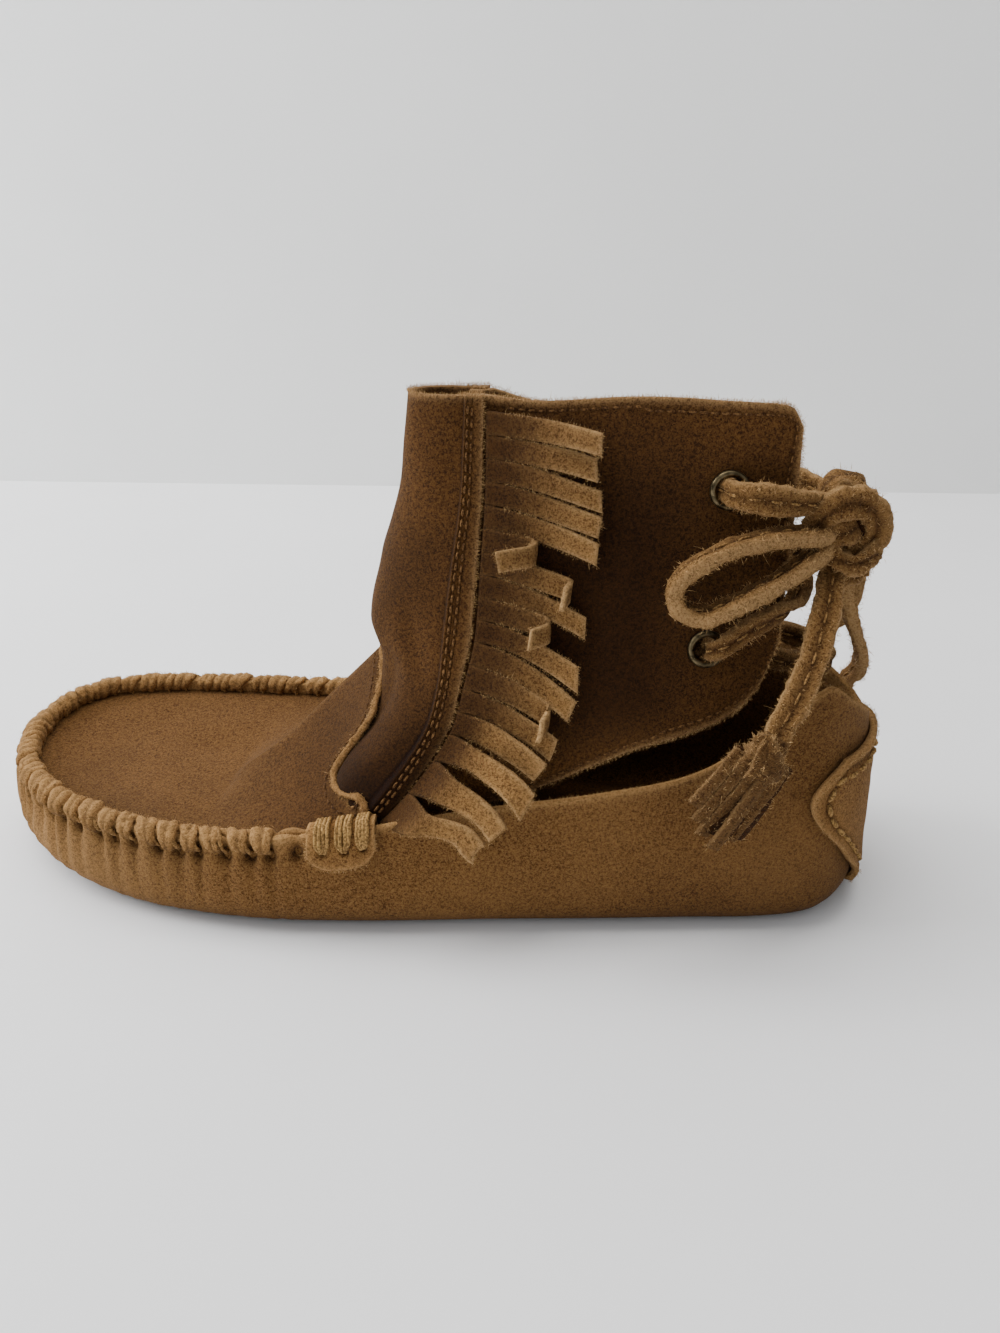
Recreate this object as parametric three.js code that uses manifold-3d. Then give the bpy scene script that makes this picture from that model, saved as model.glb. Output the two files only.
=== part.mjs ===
// Moccasin ankle boot, left foot, in tan suede.
// Millimetres. Toe towards -X, heel towards +X, outer side -Y, inner side +Y, up +Z.
// The origin is on the floor, under the middle of the boot's length.
import * as THREE from 'three';
import { mergeVertices } from 'three/addons/utils/BufferGeometryUtils.js';
import Module from 'manifold-3d';

const wasm = await Module();
wasm.setup();

// Main sizes
const bootLength = 256.5;
const heelShare = 0.4875;
const ballWidth = 93;
const rimHeight = 28;
const wingHeight = 70;
const collarHeight = 134.5;
const toeSpring = 5;
const bottomRadius = 9;
const topLean = 6;

// Leather
const suede = 1.6;
const soleThickness = 2.6;
const insoleThickness = 2.2;
const seamGap = 0.3;
const chordRoom = 0.12;
const foldStep = 1.3;

// Plug, the U shaped piece over the toes
const plugLip = 3.4;
const plugSag = 2.6;
const crestHeight = 40;
const crestLength = 47;
const plugReach = 9;
const tabDrop = 8.5;

// Shaft
const innerSlope = 18;
const rearShift = -4;
const frontFoot = 0.268 * collarHeight;
const foldTurn = 0.84;
const foldRise = 0.015;
const coreDepth = 60;

// Fringe
const fringeLength = 29;
const fringeThickness = 1.3;
const fringeStrips = 17;
const fringeSlit = 0.6;
const fringeBand = 3.6;
const seamClear = 1.1;
const fringeTop = 0.974 * collarHeight;
const fringeFoot = 0.279 * collarHeight;

// Eyelets
const eyeletRadius = 4.8;
const eyeletHole = 2.9;
const barrelWall = 0.5;
const flangeThickness = 0.8;
const eyeletSides = 12;

// Lace
const laceWidth = 7;
const laceThickness = 3.6;
const laceStep = 8;
const tasselHead = 10;
const tasselStrips = 5;
const tasselLength = 26;

// Outline of the one-piece bottom seen from above, as a ring that starts at the back of the heel,
// runs along the outer side to the toe and comes back along the inner side.
// along: share of the length from the heel; across: share of half the ball width;
// rise: the top edge, from the rim at 0 to the wing at 1; lean: share of the top's lean inwards.
const outline = [
  { along: 0.000, across: -0.090, rise: 0.55, lean: 0.35 },
  { along: 0.008, across: -0.300, rise: 0.68, lean: 0.45 },
  { along: 0.028, across: -0.510, rise: 0.84, lean: 0.70 },
  { along: 0.060, across: -0.665, rise: 0.97, lean: 0.95 },
  { along: 0.115, across: -0.745, rise: 0.74, lean: 0.90 },
  { along: 0.190, across: -0.790, rise: 0.44, lean: 0.70 },
  { along: 0.280, across: -0.845, rise: 0.33, lean: 0.50 },
  { along: 0.380, across: -0.900, rise: 0.25, lean: 0.45 },
  { along: 0.460, across: -0.950, rise: 0.17, lean: 0.45 },
  { along: 0.530, across: -0.990, rise: 0.09, lean: 0.45 },
  { along: 0.620, across: -1.020, rise: 0.02, lean: 0.45 },
  { along: 0.700, across: -1.000, rise: 0.00, lean: 0.45 },
  { along: 0.780, across: -0.930, rise: 0.00, lean: 0.50 },
  { along: 0.860, across: -0.770, rise: 0.00, lean: 0.55 },
  { along: 0.925, across: -0.540, rise: 0.00, lean: 0.60 },
  { along: 0.970, across: -0.260, rise: 0.00, lean: 0.65 },
  { along: 0.995, across: 0.060, rise: 0.00, lean: 0.65 },
  { along: 1.000, across: 0.360, rise: 0.00, lean: 0.65 },
  { along: 0.985, across: 0.660, rise: 0.00, lean: 0.65 },
  { along: 0.945, across: 0.880, rise: 0.00, lean: 0.60 },
  { along: 0.870, across: 0.980, rise: 0.00, lean: 0.55 },
  { along: 0.780, across: 1.000, rise: 0.00, lean: 0.50 },
  { along: 0.690, across: 0.990, rise: 0.00, lean: 0.45 },
  { along: 0.600, across: 0.950, rise: 0.02, lean: 0.45 },
  { along: 0.520, across: 0.880, rise: 0.08, lean: 0.45 },
  { along: 0.440, across: 0.810, rise: 0.15, lean: 0.45 },
  { along: 0.350, across: 0.740, rise: 0.27, lean: 0.45 },
  { along: 0.260, across: 0.685, rise: 0.35, lean: 0.50 },
  { along: 0.180, across: 0.635, rise: 0.47, lean: 0.70 },
  { along: 0.115, across: 0.575, rise: 0.68, lean: 1.20 },
  { along: 0.060, across: 0.465, rise: 0.84, lean: 1.60 },
  { along: 0.028, across: 0.310, rise: 0.74, lean: 1.05 },
  { along: 0.007, across: 0.110, rise: 0.62, lean: 0.55 },
];

// Level sections of the shaft. height: share of the collar height; nose, seam, rear: where the front,
// the seam and the free edge lie, as shares of half the length; halves: shares of half the ball width.
const shaftLevels = [
  { height: 0.234, nose: -0.130, seam: -0.050, rear: 0.667, seamHalf: 0.705, midHalf: 0.665, rearHalf: 0.47, belly: 0.110 },
  { height: 0.321, nose: -0.105, seam: 0.046, rear: 0.690, seamHalf: 0.670, midHalf: 0.620, rearHalf: 0.42, belly: 0.110 },
  { height: 0.409, nose: -0.070, seam: 0.106, rear: 0.714, seamHalf: 0.590, midHalf: 0.560, rearHalf: 0.37, belly: 0.090 },
  { height: 0.496, nose: -0.058, seam: 0.132, rear: 0.730, seamHalf: 0.495, midHalf: 0.485, rearHalf: 0.32, belly: 0.070 },
  { height: 0.565, nose: -0.086, seam: 0.149, rear: 0.740, seamHalf: 0.400, midHalf: 0.410, rearHalf: 0.28, belly: 0.050 },
  { height: 0.693, nose: -0.054, seam: 0.160, rear: 0.745, seamHalf: 0.290, midHalf: 0.325, rearHalf: 0.23, belly: 0.045 },
  { height: 0.818, nose: -0.006, seam: 0.169, rear: 0.748, seamHalf: 0.190, midHalf: 0.250, rearHalf: 0.18, belly: 0.045 },
  { height: 0.920, nose: 0.012, seam: 0.172, rear: 0.748, seamHalf: 0.130, midHalf: 0.205, rearHalf: 0.15, belly: 0.045 },
  { height: 1.000, nose: 0.025, seam: 0.174, rear: 0.746, seamHalf: 0.105, midHalf: 0.175, rearHalf: 0.12, belly: 0.045 },
];

// Free edges of a quarter from the seam to the back, as shares of the collar height
const quarterEdges = [
  { back: 0.00, lower: 0.247, upper: 1.000 },
  { back: 0.15, lower: 0.250, upper: 0.993 },
  { back: 0.28, lower: 0.266, upper: 0.996 },
  { back: 0.45, lower: 0.326, upper: 1.003 },
  { back: 0.60, lower: 0.374, upper: 1.003 },
  { back: 0.75, lower: 0.404, upper: 0.998 },
  { back: 0.86, lower: 0.428, upper: 0.995 },
  { back: 0.93, lower: 0.460, upper: 0.992 },
  { back: 0.97, lower: 0.500, upper: 0.984 },
  { back: 1.00, lower: 0.575, upper: 0.955 },
];

// Heel patch, half its width on the ring of the heel at each height, as shares of its own sizes
const patchHeight = 46;
const patchFoot = 3.5;
const turnRoom = 0.45;
const patchReach = 38;
const patchRows = [
  { up: 0.00, reach: 0.36 },
  { up: 0.07, reach: 0.36 },
  { up: 0.16, reach: 0.44 },
  { up: 0.30, reach: 0.60 },
  { up: 0.46, reach: 0.76 },
  { up: 0.62, reach: 0.93 },
  { up: 0.78, reach: 1.00 },
  { up: 0.90, reach: 0.92 },
  { up: 1.00, reach: 0.74 },
];

const suedeTan = { color: 0x8a5a2c, roughness: 0.95, metalness: 0 };
const suedeCut = { color: 0xa6783f, roughness: 0.95, metalness: 0 };
const brass = { color: 0x6d5a37, roughness: 0.4, metalness: 1 };

// A column of a table at a key's value, as a smooth curve through the rows
function readTable(rows, key, column, at) {
  const last = rows.length - 1;
  let i = 0;
  while (i < last - 1 && at > rows[i + 1][key]) i += 1;
  const slope = (k) => {
    const a = rows[Math.max(k - 1, 0)];
    const b = rows[Math.min(k + 1, last)];
    return (b[column] - a[column]) / (b[key] - a[key]);
  };
  const from = rows[i];
  const to = rows[i + 1];
  const span = to[key] - from[key];
  const t = THREE.MathUtils.clamp((at - from[key]) / span, 0, 1);
  const t2 = t * t;
  const t3 = t2 * t;
  return (2 * t3 - 3 * t2 + 1) * from[column] + (t3 - 2 * t2 + t) * span * slope(i)
    + (3 * t2 - 2 * t3) * to[column] + (t3 - t2) * span * slope(i + 1);
}

// A column of the outline at a place on the ring, counted in rows
function readRing(column, at) {
  const count = outline.length;
  const base = Math.floor(at);
  const t = at - base;
  const row = (k) => outline[(((base + k) % count) + count) % count][column];
  const [a, b, c, d] = [row(-1), row(0), row(1), row(2)];
  return b + 0.5 * t * (c - a + t * (2 * a - 5 * b + 4 * c - d + t * (3 * (b - c) + d - a)));
}

function ringPoint(at) {
  const x = (heelShare - readRing('along', at)) * bootLength;
  const y = readRing('across', at) * ballWidth / 2;
  return new THREE.Vector2(x, y);
}

// Unit vector that points inwards from the ring
function ringInward(at) {
  const step = 0.02;
  const tangent = ringPoint(at + step).sub(ringPoint(at - step)).normalize();
  return new THREE.Vector2(tangent.y, -tangent.x);
}

const ringTop = (at) => rimHeight + readRing('rise', at) * (wingHeight - rimHeight);
const ringLean = (at) => readRing('lean', at) * topLean;

function ringLift(at) {
  const past = Math.max(readRing('along', at) - 0.76, 0) / 0.24;
  return toeSpring * past * past;
}

// A place beside the ring: inset is measured inwards from the widest line
function besideRing(at, inset, z) {
  const p = ringPoint(at).addScaledVector(ringInward(at), inset);
  return new THREE.Vector3(p.x, p.y, z);
}

// How far the outer face of the bottom's wall lies inside the widest line at a height
function wallInset(at, z) {
  const widest = ringLift(at) + bottomRadius;
  if (z < widest) {
    const drop = Math.min((widest - z) / bottomRadius, 1);
    return bottomRadius * (1 - Math.sqrt(1 - drop * drop));
  }
  const share = (z - widest) / (ringTop(at) - widest);
  return ringLean(at) * share ** 1.5;
}

// Closed mesh from triangles given as point triples
function solidOf(points, faces) {
  const raw = new THREE.BufferGeometry();
  const positions = points.flatMap((p) => [p.x, p.y, p.z]);
  raw.setAttribute('position', new THREE.Float32BufferAttribute(positions, 3));
  raw.setIndex(faces.flat());
  const merged = mergeVertices(raw, 1e-3);
  const index = merged.getIndex().array;
  const kept = [];
  for (let i = 0; i < index.length; i += 3) {
    const [a, b, c] = [index[i], index[i + 1], index[i + 2]];
    if (a !== b && b !== c && c !== a) kept.push(a, b, c);
  }
  merged.setIndex(kept);
  if (signedVolume(merged) < 0) {
    for (let i = 0; i < kept.length; i += 3) [kept[i + 1], kept[i + 2]] = [kept[i + 2], kept[i + 1]];
    merged.setIndex(kept);
  }
  return merged;
}

function signedVolume(geometry) {
  const place = geometry.getAttribute('position');
  const index = geometry.getIndex().array;
  const [a, b, c] = [new THREE.Vector3(), new THREE.Vector3(), new THREE.Vector3()];
  let volume = 0;
  for (let i = 0; i < index.length; i += 3) {
    a.fromBufferAttribute(place, index[i]);
    b.fromBufferAttribute(place, index[i + 1]);
    c.fromBufferAttribute(place, index[i + 2]);
    volume += a.dot(b.cross(c)) / 6;
  }
  return volume;
}

// Solid between two grids of points with the same rows and columns; cells that are not kept stay open.
// A grid whose last column meets itself has no wall there.
function sheetSolid(over, under, kept = () => true, meets = false) {
  const rows = over.length;
  const columns = over[0].length;
  const at = (side, r, c) => side * rows * columns + r * columns + c;
  const isKept = (r, c) => r >= 0 && c >= 0 && r < rows - 1 && c < columns - 1 && kept(r, c);
  const faces = [];
  const quad = (a, b, c, d) => faces.push([a, b, c], [a, c, d]);
  const wall = (r1, c1, r2, c2) => quad(at(0, r1, c1), at(0, r2, c2), at(1, r2, c2), at(1, r1, c1));
  for (let r = 0; r < rows - 1; r += 1) {
    for (let c = 0; c < columns - 1; c += 1) {
      if (!isKept(r, c)) continue;
      quad(at(0, r, c), at(0, r, c + 1), at(0, r + 1, c + 1), at(0, r + 1, c));
      quad(at(1, r, c), at(1, r + 1, c), at(1, r + 1, c + 1), at(1, r, c + 1));
      if (!isKept(r - 1, c)) wall(r, c + 1, r, c);
      if (!isKept(r + 1, c)) wall(r + 1, c, r + 1, c + 1);
      if (!isKept(r, c - 1)) wall(r, c, r + 1, c);
      if (!isKept(r, c + 1) && !meets) wall(r + 1, c + 1, r, c + 1);
    }
  }
  return solidOf([...over.flat(), ...under.flat()], faces);
}

// Solid along a row of closed sections with flat ends; the points of a section pair up across its thickness
function sweepSolid(sections) {
  const sides = sections[0].length;
  const faces = [];
  const at = (s, k) => s * sides + (k % sides);
  for (let s = 0; s < sections.length - 1; s += 1) {
    for (let k = 0; k < sides; k += 1) {
      faces.push([at(s, k), at(s, k + 1), at(s + 1, k + 1)], [at(s, k), at(s + 1, k + 1), at(s + 1, k)]);
    }
  }
  const last = sections.length - 1;
  for (let k = 0; k < sides / 2 - 1; k += 1) {
    const [a, b, c, d] = [k, k + 1, sides - 2 - k, sides - 1 - k];
    faces.push([at(0, a), at(0, c), at(0, b)], [at(0, a), at(0, d), at(0, c)]);
    faces.push([at(last, a), at(last, b), at(last, c)], [at(last, a), at(last, c), at(last, d)]);
  }
  return solidOf(sections.flat(), faces);
}

function toManifold(geometry) {
  const bare = geometry.clone();
  bare.deleteAttribute('normal');
  bare.deleteAttribute('uv');
  const merged = mergeVertices(bare, 1e-4);
  return new wasm.Manifold(new wasm.Mesh({
    numProp: 3,
    vertProperties: new Float32Array(merged.getAttribute('position').array),
    triVerts: new Uint32Array(merged.getIndex().array),
  }));
}

function fromManifold(solid) {
  const mesh = solid.getMesh();
  const geometry = new THREE.BufferGeometry();
  geometry.setAttribute('position', new THREE.Float32BufferAttribute(mesh.vertProperties, 3));
  geometry.setIndex([...mesh.triVerts]);
  return geometry;
}

function joined(geometries) {
  const whole = geometries.map(toManifold).reduce((sum, next) => sum.add(next));
  return fromManifold(whole);
}

const boot = new THREE.Group();

function addPiece(name, geometry, look) {
  const mesh = new THREE.Mesh(geometry, new THREE.MeshStandardMaterial(look));
  mesh.name = name;
  boot.add(mesh);
  return mesh;
}

// One-piece bottom: sole, sides and heel in one hide
const columnsPerRow = 2;
const ringColumns = outline.length * columnsPerRow;
const ringAt = (i) => i / columnsPerRow;

function bottomSection(at) {
  const top = ringTop(at);
  const lift = ringLift(at);
  const widest = lift + bottomRadius;
  const section = [];
  for (const turn of [0, 30, 60, 90]) {
    const angle = THREE.MathUtils.degToRad(turn);
    section.push(besideRing(at, bottomRadius * (1 - Math.sin(angle)), widest - bottomRadius * Math.cos(angle)));
  }
  for (const share of [0.5, 1]) {
    const z = widest + (top - widest) * share;
    section.push(besideRing(at, wallInset(at, z), z));
  }
  for (const share of [1, 0.5]) {
    const z = widest + (top - widest) * share;
    section.push(besideRing(at, wallInset(at, z) + suede, z));
  }
  for (const turn of [90, 60, 30, 0]) {
    const angle = THREE.MathUtils.degToRad(turn);
    const inset = bottomRadius - (bottomRadius - suede) * Math.sin(angle);
    section.push(besideRing(at, inset, widest - (bottomRadius - soleThickness) * Math.cos(angle)));
  }
  return section;
}

// Triangles that close a ring of points with strips from the outer to the inner side
function closeRing(index, count, faces) {
  for (let i = 1; i < Math.floor(count / 2); i += 1) {
    const [a, b, c, d] = [index(i), index(i + 1), index(count - i - 1), index(count - i)];
    faces.push([a, b, c], [a, c, d]);
  }
  faces.push([index(0), index(1), index(count - 1)]);
}

function bottomSolid() {
  const sections = [];
  for (let i = 0; i < ringColumns; i += 1) sections.push(bottomSection(ringAt(i)));
  const size = sections[0].length;
  const at = (i, k) => (i % ringColumns) * size + k;
  const faces = [];
  for (let i = 0; i < ringColumns; i += 1) {
    for (let k = 0; k < size - 1; k += 1) {
      faces.push([at(i, k), at(i + 1, k), at(i + 1, k + 1)], [at(i, k), at(i + 1, k + 1), at(i, k + 1)]);
    }
  }
  const under = [];
  closeRing((i) => at(i, 0), ringColumns, under);
  const inside = [];
  closeRing((i) => at(i, size - 1), ringColumns, inside);
  const turned = under.map(([a, b, c]) => [a, c, b]);
  return solidOf(sections.flat(), [...faces, ...turned, ...inside]);
}

addPiece('bottom', bottomSolid(), suedeTan);

// Insole, a thin pad that lies on the floor of the bottom
function insoleSolid() {
  const over = [];
  const under = [];
  for (let i = 1; i <= Math.floor(ringColumns / 2); i += 1) {
    const [near, far] = [ringAt(i), ringAt(ringColumns - i)];
    for (const [grid, height, inset] of [[over, insoleThickness, bottomRadius * 0.6], [under, 0, bottomRadius]]) {
      const level = (at) => ringLift(at) + soleThickness + seamGap + height;
      grid.push([besideRing(near, inset, level(near)), besideRing(far, inset, level(far))]);
    }
  }
  return sheetSolid(over, under);
}

addPiece('insole', insoleSolid(), suedeCut);

// Plug: its lip stands beside the top edge of the bottom, and its centre rises to a crest
const earColumn = 17;
const plugColumns = [];
for (let i = earColumn; i <= ringColumns - earColumn; i += 1) plugColumns.push(i);
const plugInset = (at) => ringLean(at) + suede + seamGap;
const spineToe = 0.875;

function spinePoint(i) {
  const [near, far] = [ringAt(i), ringAt(ringColumns - i)];
  const mid = ringPoint(near).add(ringPoint(far)).multiplyScalar(0.5);
  const front = (heelShare - spineToe) * bootLength;
  return mid.x < front ? null : mid;
}

const spineEnd = (() => {
  let end = null;
  for (let i = earColumn; i < ringColumns / 2; i += 1) end = spinePoint(i) ?? end;
  return end;
})();

const crestRear = spinePoint(earColumn).x - plugReach;

function plugPoint(i, share) {
  const at = ringAt(i);
  const spine = spinePoint(i) ?? spineEnd;
  const edge = ringPoint(at).addScaledVector(ringInward(at), plugInset(at) + suede);
  const p = edge.clone().lerp(spine, share);
  const back = THREE.MathUtils.clamp((p.x - (crestRear - crestLength)) / crestLength, 0, 1);
  const sharpness = THREE.MathUtils.lerp(2, 0.6, back);
  const middleTop = (ringTop(at) + ringTop(ringAt(ringColumns - i))) / 2;
  const top = THREE.MathUtils.lerp(ringTop(at), middleTop, share);
  const flat = top - plugLip - plugSag * (1 - (1 - share) ** 2);
  return new THREE.Vector3(p.x, p.y, flat + crestHeight * back * share ** sharpness);
}

function plugSolid() {
  const shares = [0, 0.1, 0.24, 0.42, 0.62, 0.82, 1];
  const over = [];
  const under = [];
  const down = suede * 1.25;
  for (const i of plugColumns) {
    const at = ringAt(i);
    const top = ringTop(at);
    const outer = plugInset(at);
    const row = shares.map((share) => plugPoint(i, share));
    over.push([besideRing(at, outer + suede, top), ...row]);
    const lower = row.map((p) => p.clone().setZ(p.z - down));
    lower[0] = besideRing(at, outer, top - plugLip - suede);
    under.push([besideRing(at, outer, top), ...lower]);
  }
  return sheetSolid(over, under, () => true, true);
}

// Tab of the plug that laps over the top edge beside the end of the seam
function tabSolid(side) {
  const at = (share) => {
    const row = THREE.MathUtils.lerp(9.45, 8.66, share);
    return side < 0 ? row : outline.length - row;
  };
  const sections = [];
  const steps = 8;
  for (let k = 0; k <= steps; k += 1) {
    const share = k / steps;
    const row = at(share);
    const top = ringTop(row);
    const lean = ringLean(row);
    const drop = tabDrop * (1 - Math.abs(2 * share - 1) ** 3 * 0.45);
    const inner = plugInset(row) + suede * 0.8;
    const leg = plugInset(row) + suede * 0.2;
    const outer = lean - seamGap;
    const low = top - drop;
    const mid = top - drop / 2;
    const clear = (z) => wallInset(row, z) - seamGap - chordRoom;
    sections.push([
      besideRing(row, inner - suede * 0.15, top - 2),
      besideRing(row, inner, top + seamGap + suede),
      besideRing(row, outer - suede, top + seamGap + suede),
      besideRing(row, clear(mid) - suede, mid),
      besideRing(row, clear(low) - suede, low),
      besideRing(row, clear(low), low),
      besideRing(row, clear(mid), mid),
      besideRing(row, outer, top + seamGap),
      besideRing(row, leg, top + seamGap),
      besideRing(row, inner - suede * 0.35, top - 2),
    ]);
  }
  return sweepSolid(sections);
}


// Shaft: level sections read at a height
function shaftAt(z) {
  const height = z / collarHeight;
  const read = (column) => readTable(shaftLevels, 'height', column, height);
  return {
    nose: read('nose') * bootLength / 2,
    seam: read('seam') * bootLength / 2,
    rear: read('rear') * bootLength / 2,
    seamHalf: read('seamHalf') * ballWidth / 2,
    midHalf: read('midHalf') * ballWidth / 2,
    rearHalf: read('rearHalf') * ballWidth / 2,
    belly: read('belly') * ballWidth / 2,
  };
}

// The shaft's middle line drifts towards the heel's middle
const shaftMiddle = (x) => rearShift * Math.max(x, 0) / (0.37 * bootLength);

// Front panel's outer face: turn runs from 0 at the nose to 1 at the seam
function frontPoint(side, turn, z) {
  const level = shaftAt(z);
  const angle = turn * Math.PI / 2;
  const x = level.nose + (level.seam - level.nose) * (1 - Math.cos(angle));
  const half = level.seamHalf * Math.sin(angle) + level.belly * Math.sin(2 * angle);
  return new THREE.Vector3(x, shaftMiddle(x) + side * half, z);
}

// Quarter's outer face: back runs from 0 at the seam to 1 at the free edge
function quarterPoint(side, back, z) {
  const level = shaftAt(z);
  const x = THREE.MathUtils.lerp(level.seam, level.rear, back);
  const half = level.seamHalf * (1 - back) * (1 - 2 * back) + level.midHalf * 4 * back * (1 - back)
    + level.rearHalf * back * (2 * back - 1);
  return new THREE.Vector3(x, shaftMiddle(x) + side * half, z);
}

// Outward unit normal of a face given by a function of two values
function faceNormal(face, a, b, side, stepA = 0.01, stepB = 1) {
  const along = face(a + stepA, b).sub(face(a - stepA, b));
  const up = face(a, b + stepB).sub(face(a, b - stepB));
  const normal = along.cross(up).normalize();
  return normal.y * side < 0 ? normal.negate() : normal;
}

function frontNormal(side, turn, z) {
  const normal = faceNormal((a, b) => frontPoint(side, a, b), Math.max(turn, 0.02), z, side);
  return turn < 0.02 ? normal.setY(0).normalize() : normal;
}

const quarterNormal = (side, back, z) => faceNormal((a, b) => quarterPoint(side, a, b), back, z, side);

const shaftRows = [0, 0.05, 0.11, 0.18, 0.27, 0.38, 0.5, 0.64, 0.79, 0.9, 1];

const frontTurns = [0, 0.14, 0.28, 0.44, 0.6, 0.74, foldTurn, foldTurn + foldRise, 0.99];
const frontColumns = [
  ...frontTurns.slice(1).reverse().map((turn) => [-1, turn]),
  ...frontTurns.map((turn) => [1, turn]),
];

// Height of a place on the front panel; a share below 0 lies under the panel's foot
function frontHeight(turn, share) {
  const foot = THREE.MathUtils.lerp(frontFoot, quarterEdges[0].lower * collarHeight, turn);
  return THREE.MathUtils.lerp(foot, collarHeight, share);
}

function frontPanelSolid() {
  const over = [];
  const under = [];
  for (const share of shaftRows) {
    const overRow = [];
    const underRow = [];
    for (const [side, turn] of frontColumns) {
      const z = frontHeight(turn, share);
      const point = frontPoint(side, turn, z);
      const normal = frontNormal(side, turn, z);
      const step = turn > foldTurn ? foldStep : 0;
      overRow.push(point.clone().addScaledVector(normal, step));
      underRow.push(point.clone().addScaledVector(normal, -suede));
    }
    over.push(overRow);
    under.push(underRow);
  }
  return sheetSolid(over, under);
}

addPiece('shaft_front', frontPanelSolid(), suedeTan);

// The plug's rear edge meets the front panel all the way round: the room the shaft takes is cut from it
function shaftRoom() {
  const over = [];
  const under = [];
  for (const share of [-0.3, ...shaftRows]) {
    const row = frontColumns.map(([side, turn]) => {
      const z = frontHeight(turn, share);
      const out = seamGap + 2 * chordRoom + (turn > foldTurn ? foldStep : 0);
      return frontPoint(side, turn, z).addScaledVector(frontNormal(side, turn, z), out);
    });
    over.push(row);
    under.push(row.map((p) => p.clone().setX(coreDepth)));
  }
  return toManifold(sheetSolid(over, under));
}

const plugWhole = toManifold(joined([plugSolid(), tabSolid(-1), tabSolid(1)]));
addPiece('plug', fromManifold(plugWhole.subtract(shaftRoom())), suedeTan);

// Quarters, with the inner one's top edge falling towards the back
function quarterEdge(side, column, back) {
  const z = readTable(quarterEdges, 'back', column, back) * collarHeight;
  return column === 'upper' && side > 0 ? z - innerSlope * back : z;
}

function eyeletPlace(side, level) {
  const back = level === 'upper' ? 0.79 : 0.77;
  const z = level === 'upper' ? 0.85 * collarHeight : 0.566 * collarHeight;
  const point = quarterPoint(side, back, z);
  const normal = quarterNormal(side, back, z);
  return { point, normal };
}

function quarterSolid(side) {
  const over = [];
  const under = [];
  const backs = [0.012, 0.1, 0.2, 0.3, 0.42, 0.55, 0.68, 0.8, 0.88, 0.93, 0.97, 1];
  for (const back of backs) {
    const overRow = [];
    const underRow = [];
    for (const share of shaftRows) {
      const z = THREE.MathUtils.lerp(quarterEdge(side, 'lower', back), quarterEdge(side, 'upper', back), share);
      const point = quarterPoint(side, back, z);
      overRow.push(point);
      underRow.push(point.clone().addScaledVector(quarterNormal(side, back, z), -suede));
    }
    over.push(overRow);
    under.push(underRow);
  }
  let solid = toManifold(sheetSolid(over, under));
  for (const level of ['upper', 'lower']) {
    const { point, normal } = eyeletPlace(side, level);
    const drill = new THREE.CylinderGeometry(barrelRadius + seamGap, barrelRadius + seamGap, 12, eyeletSides);
    drill.applyMatrix4(placeOnNormal(point, normal));
    solid = solid.subtract(toManifold(drill));
  }
  return fromManifold(solid);
}

const barrelRadius = eyeletHole + barrelWall;

// Matrix that stands a shape's Y axis on a face
function placeOnNormal(point, normal) {
  const turn = new THREE.Quaternion().setFromUnitVectors(new THREE.Vector3(0, 1, 0), normal);
  return new THREE.Matrix4().compose(point, turn, new THREE.Vector3(1, 1, 1));
}

addPiece('quarter_outer', quarterSolid(-1), suedeTan);
addPiece('quarter_inner', quarterSolid(1), suedeTan);

// Eyelets: a rolled flange outside, a barrel through the hide and a smaller flange inside
function eyeletSolid(side, level) {
  const bed = seamGap + 0.15;
  const outside = bed + flangeThickness;
  const inside = -suede - bed;
  const rim = eyeletRadius;
  const inner = eyeletRadius - 0.7;
  const profile = [
    [eyeletHole, inside - flangeThickness],
    [inner, inside - flangeThickness],
    [inner, inside],
    [barrelRadius, inside],
    [barrelRadius, bed],
    [rim, bed],
    [rim - 0.3, outside],
    [eyeletHole, outside],
    [eyeletHole, inside - flangeThickness],
  ].map(([x, y]) => new THREE.Vector2(x, y));
  const ring = new THREE.LatheGeometry(profile, eyeletSides);
  const { point, normal } = eyeletPlace(side, level);
  ring.applyMatrix4(placeOnNormal(point, normal));
  return fromManifold(toManifold(ring));
}

for (const [sideName, side] of [['outer', -1], ['inner', 1]]) {
  for (const level of ['upper', 'lower']) {
    addPiece(`eyelet_${sideName}_${level}`, eyeletSolid(side, level), brass);
  }
}

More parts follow.
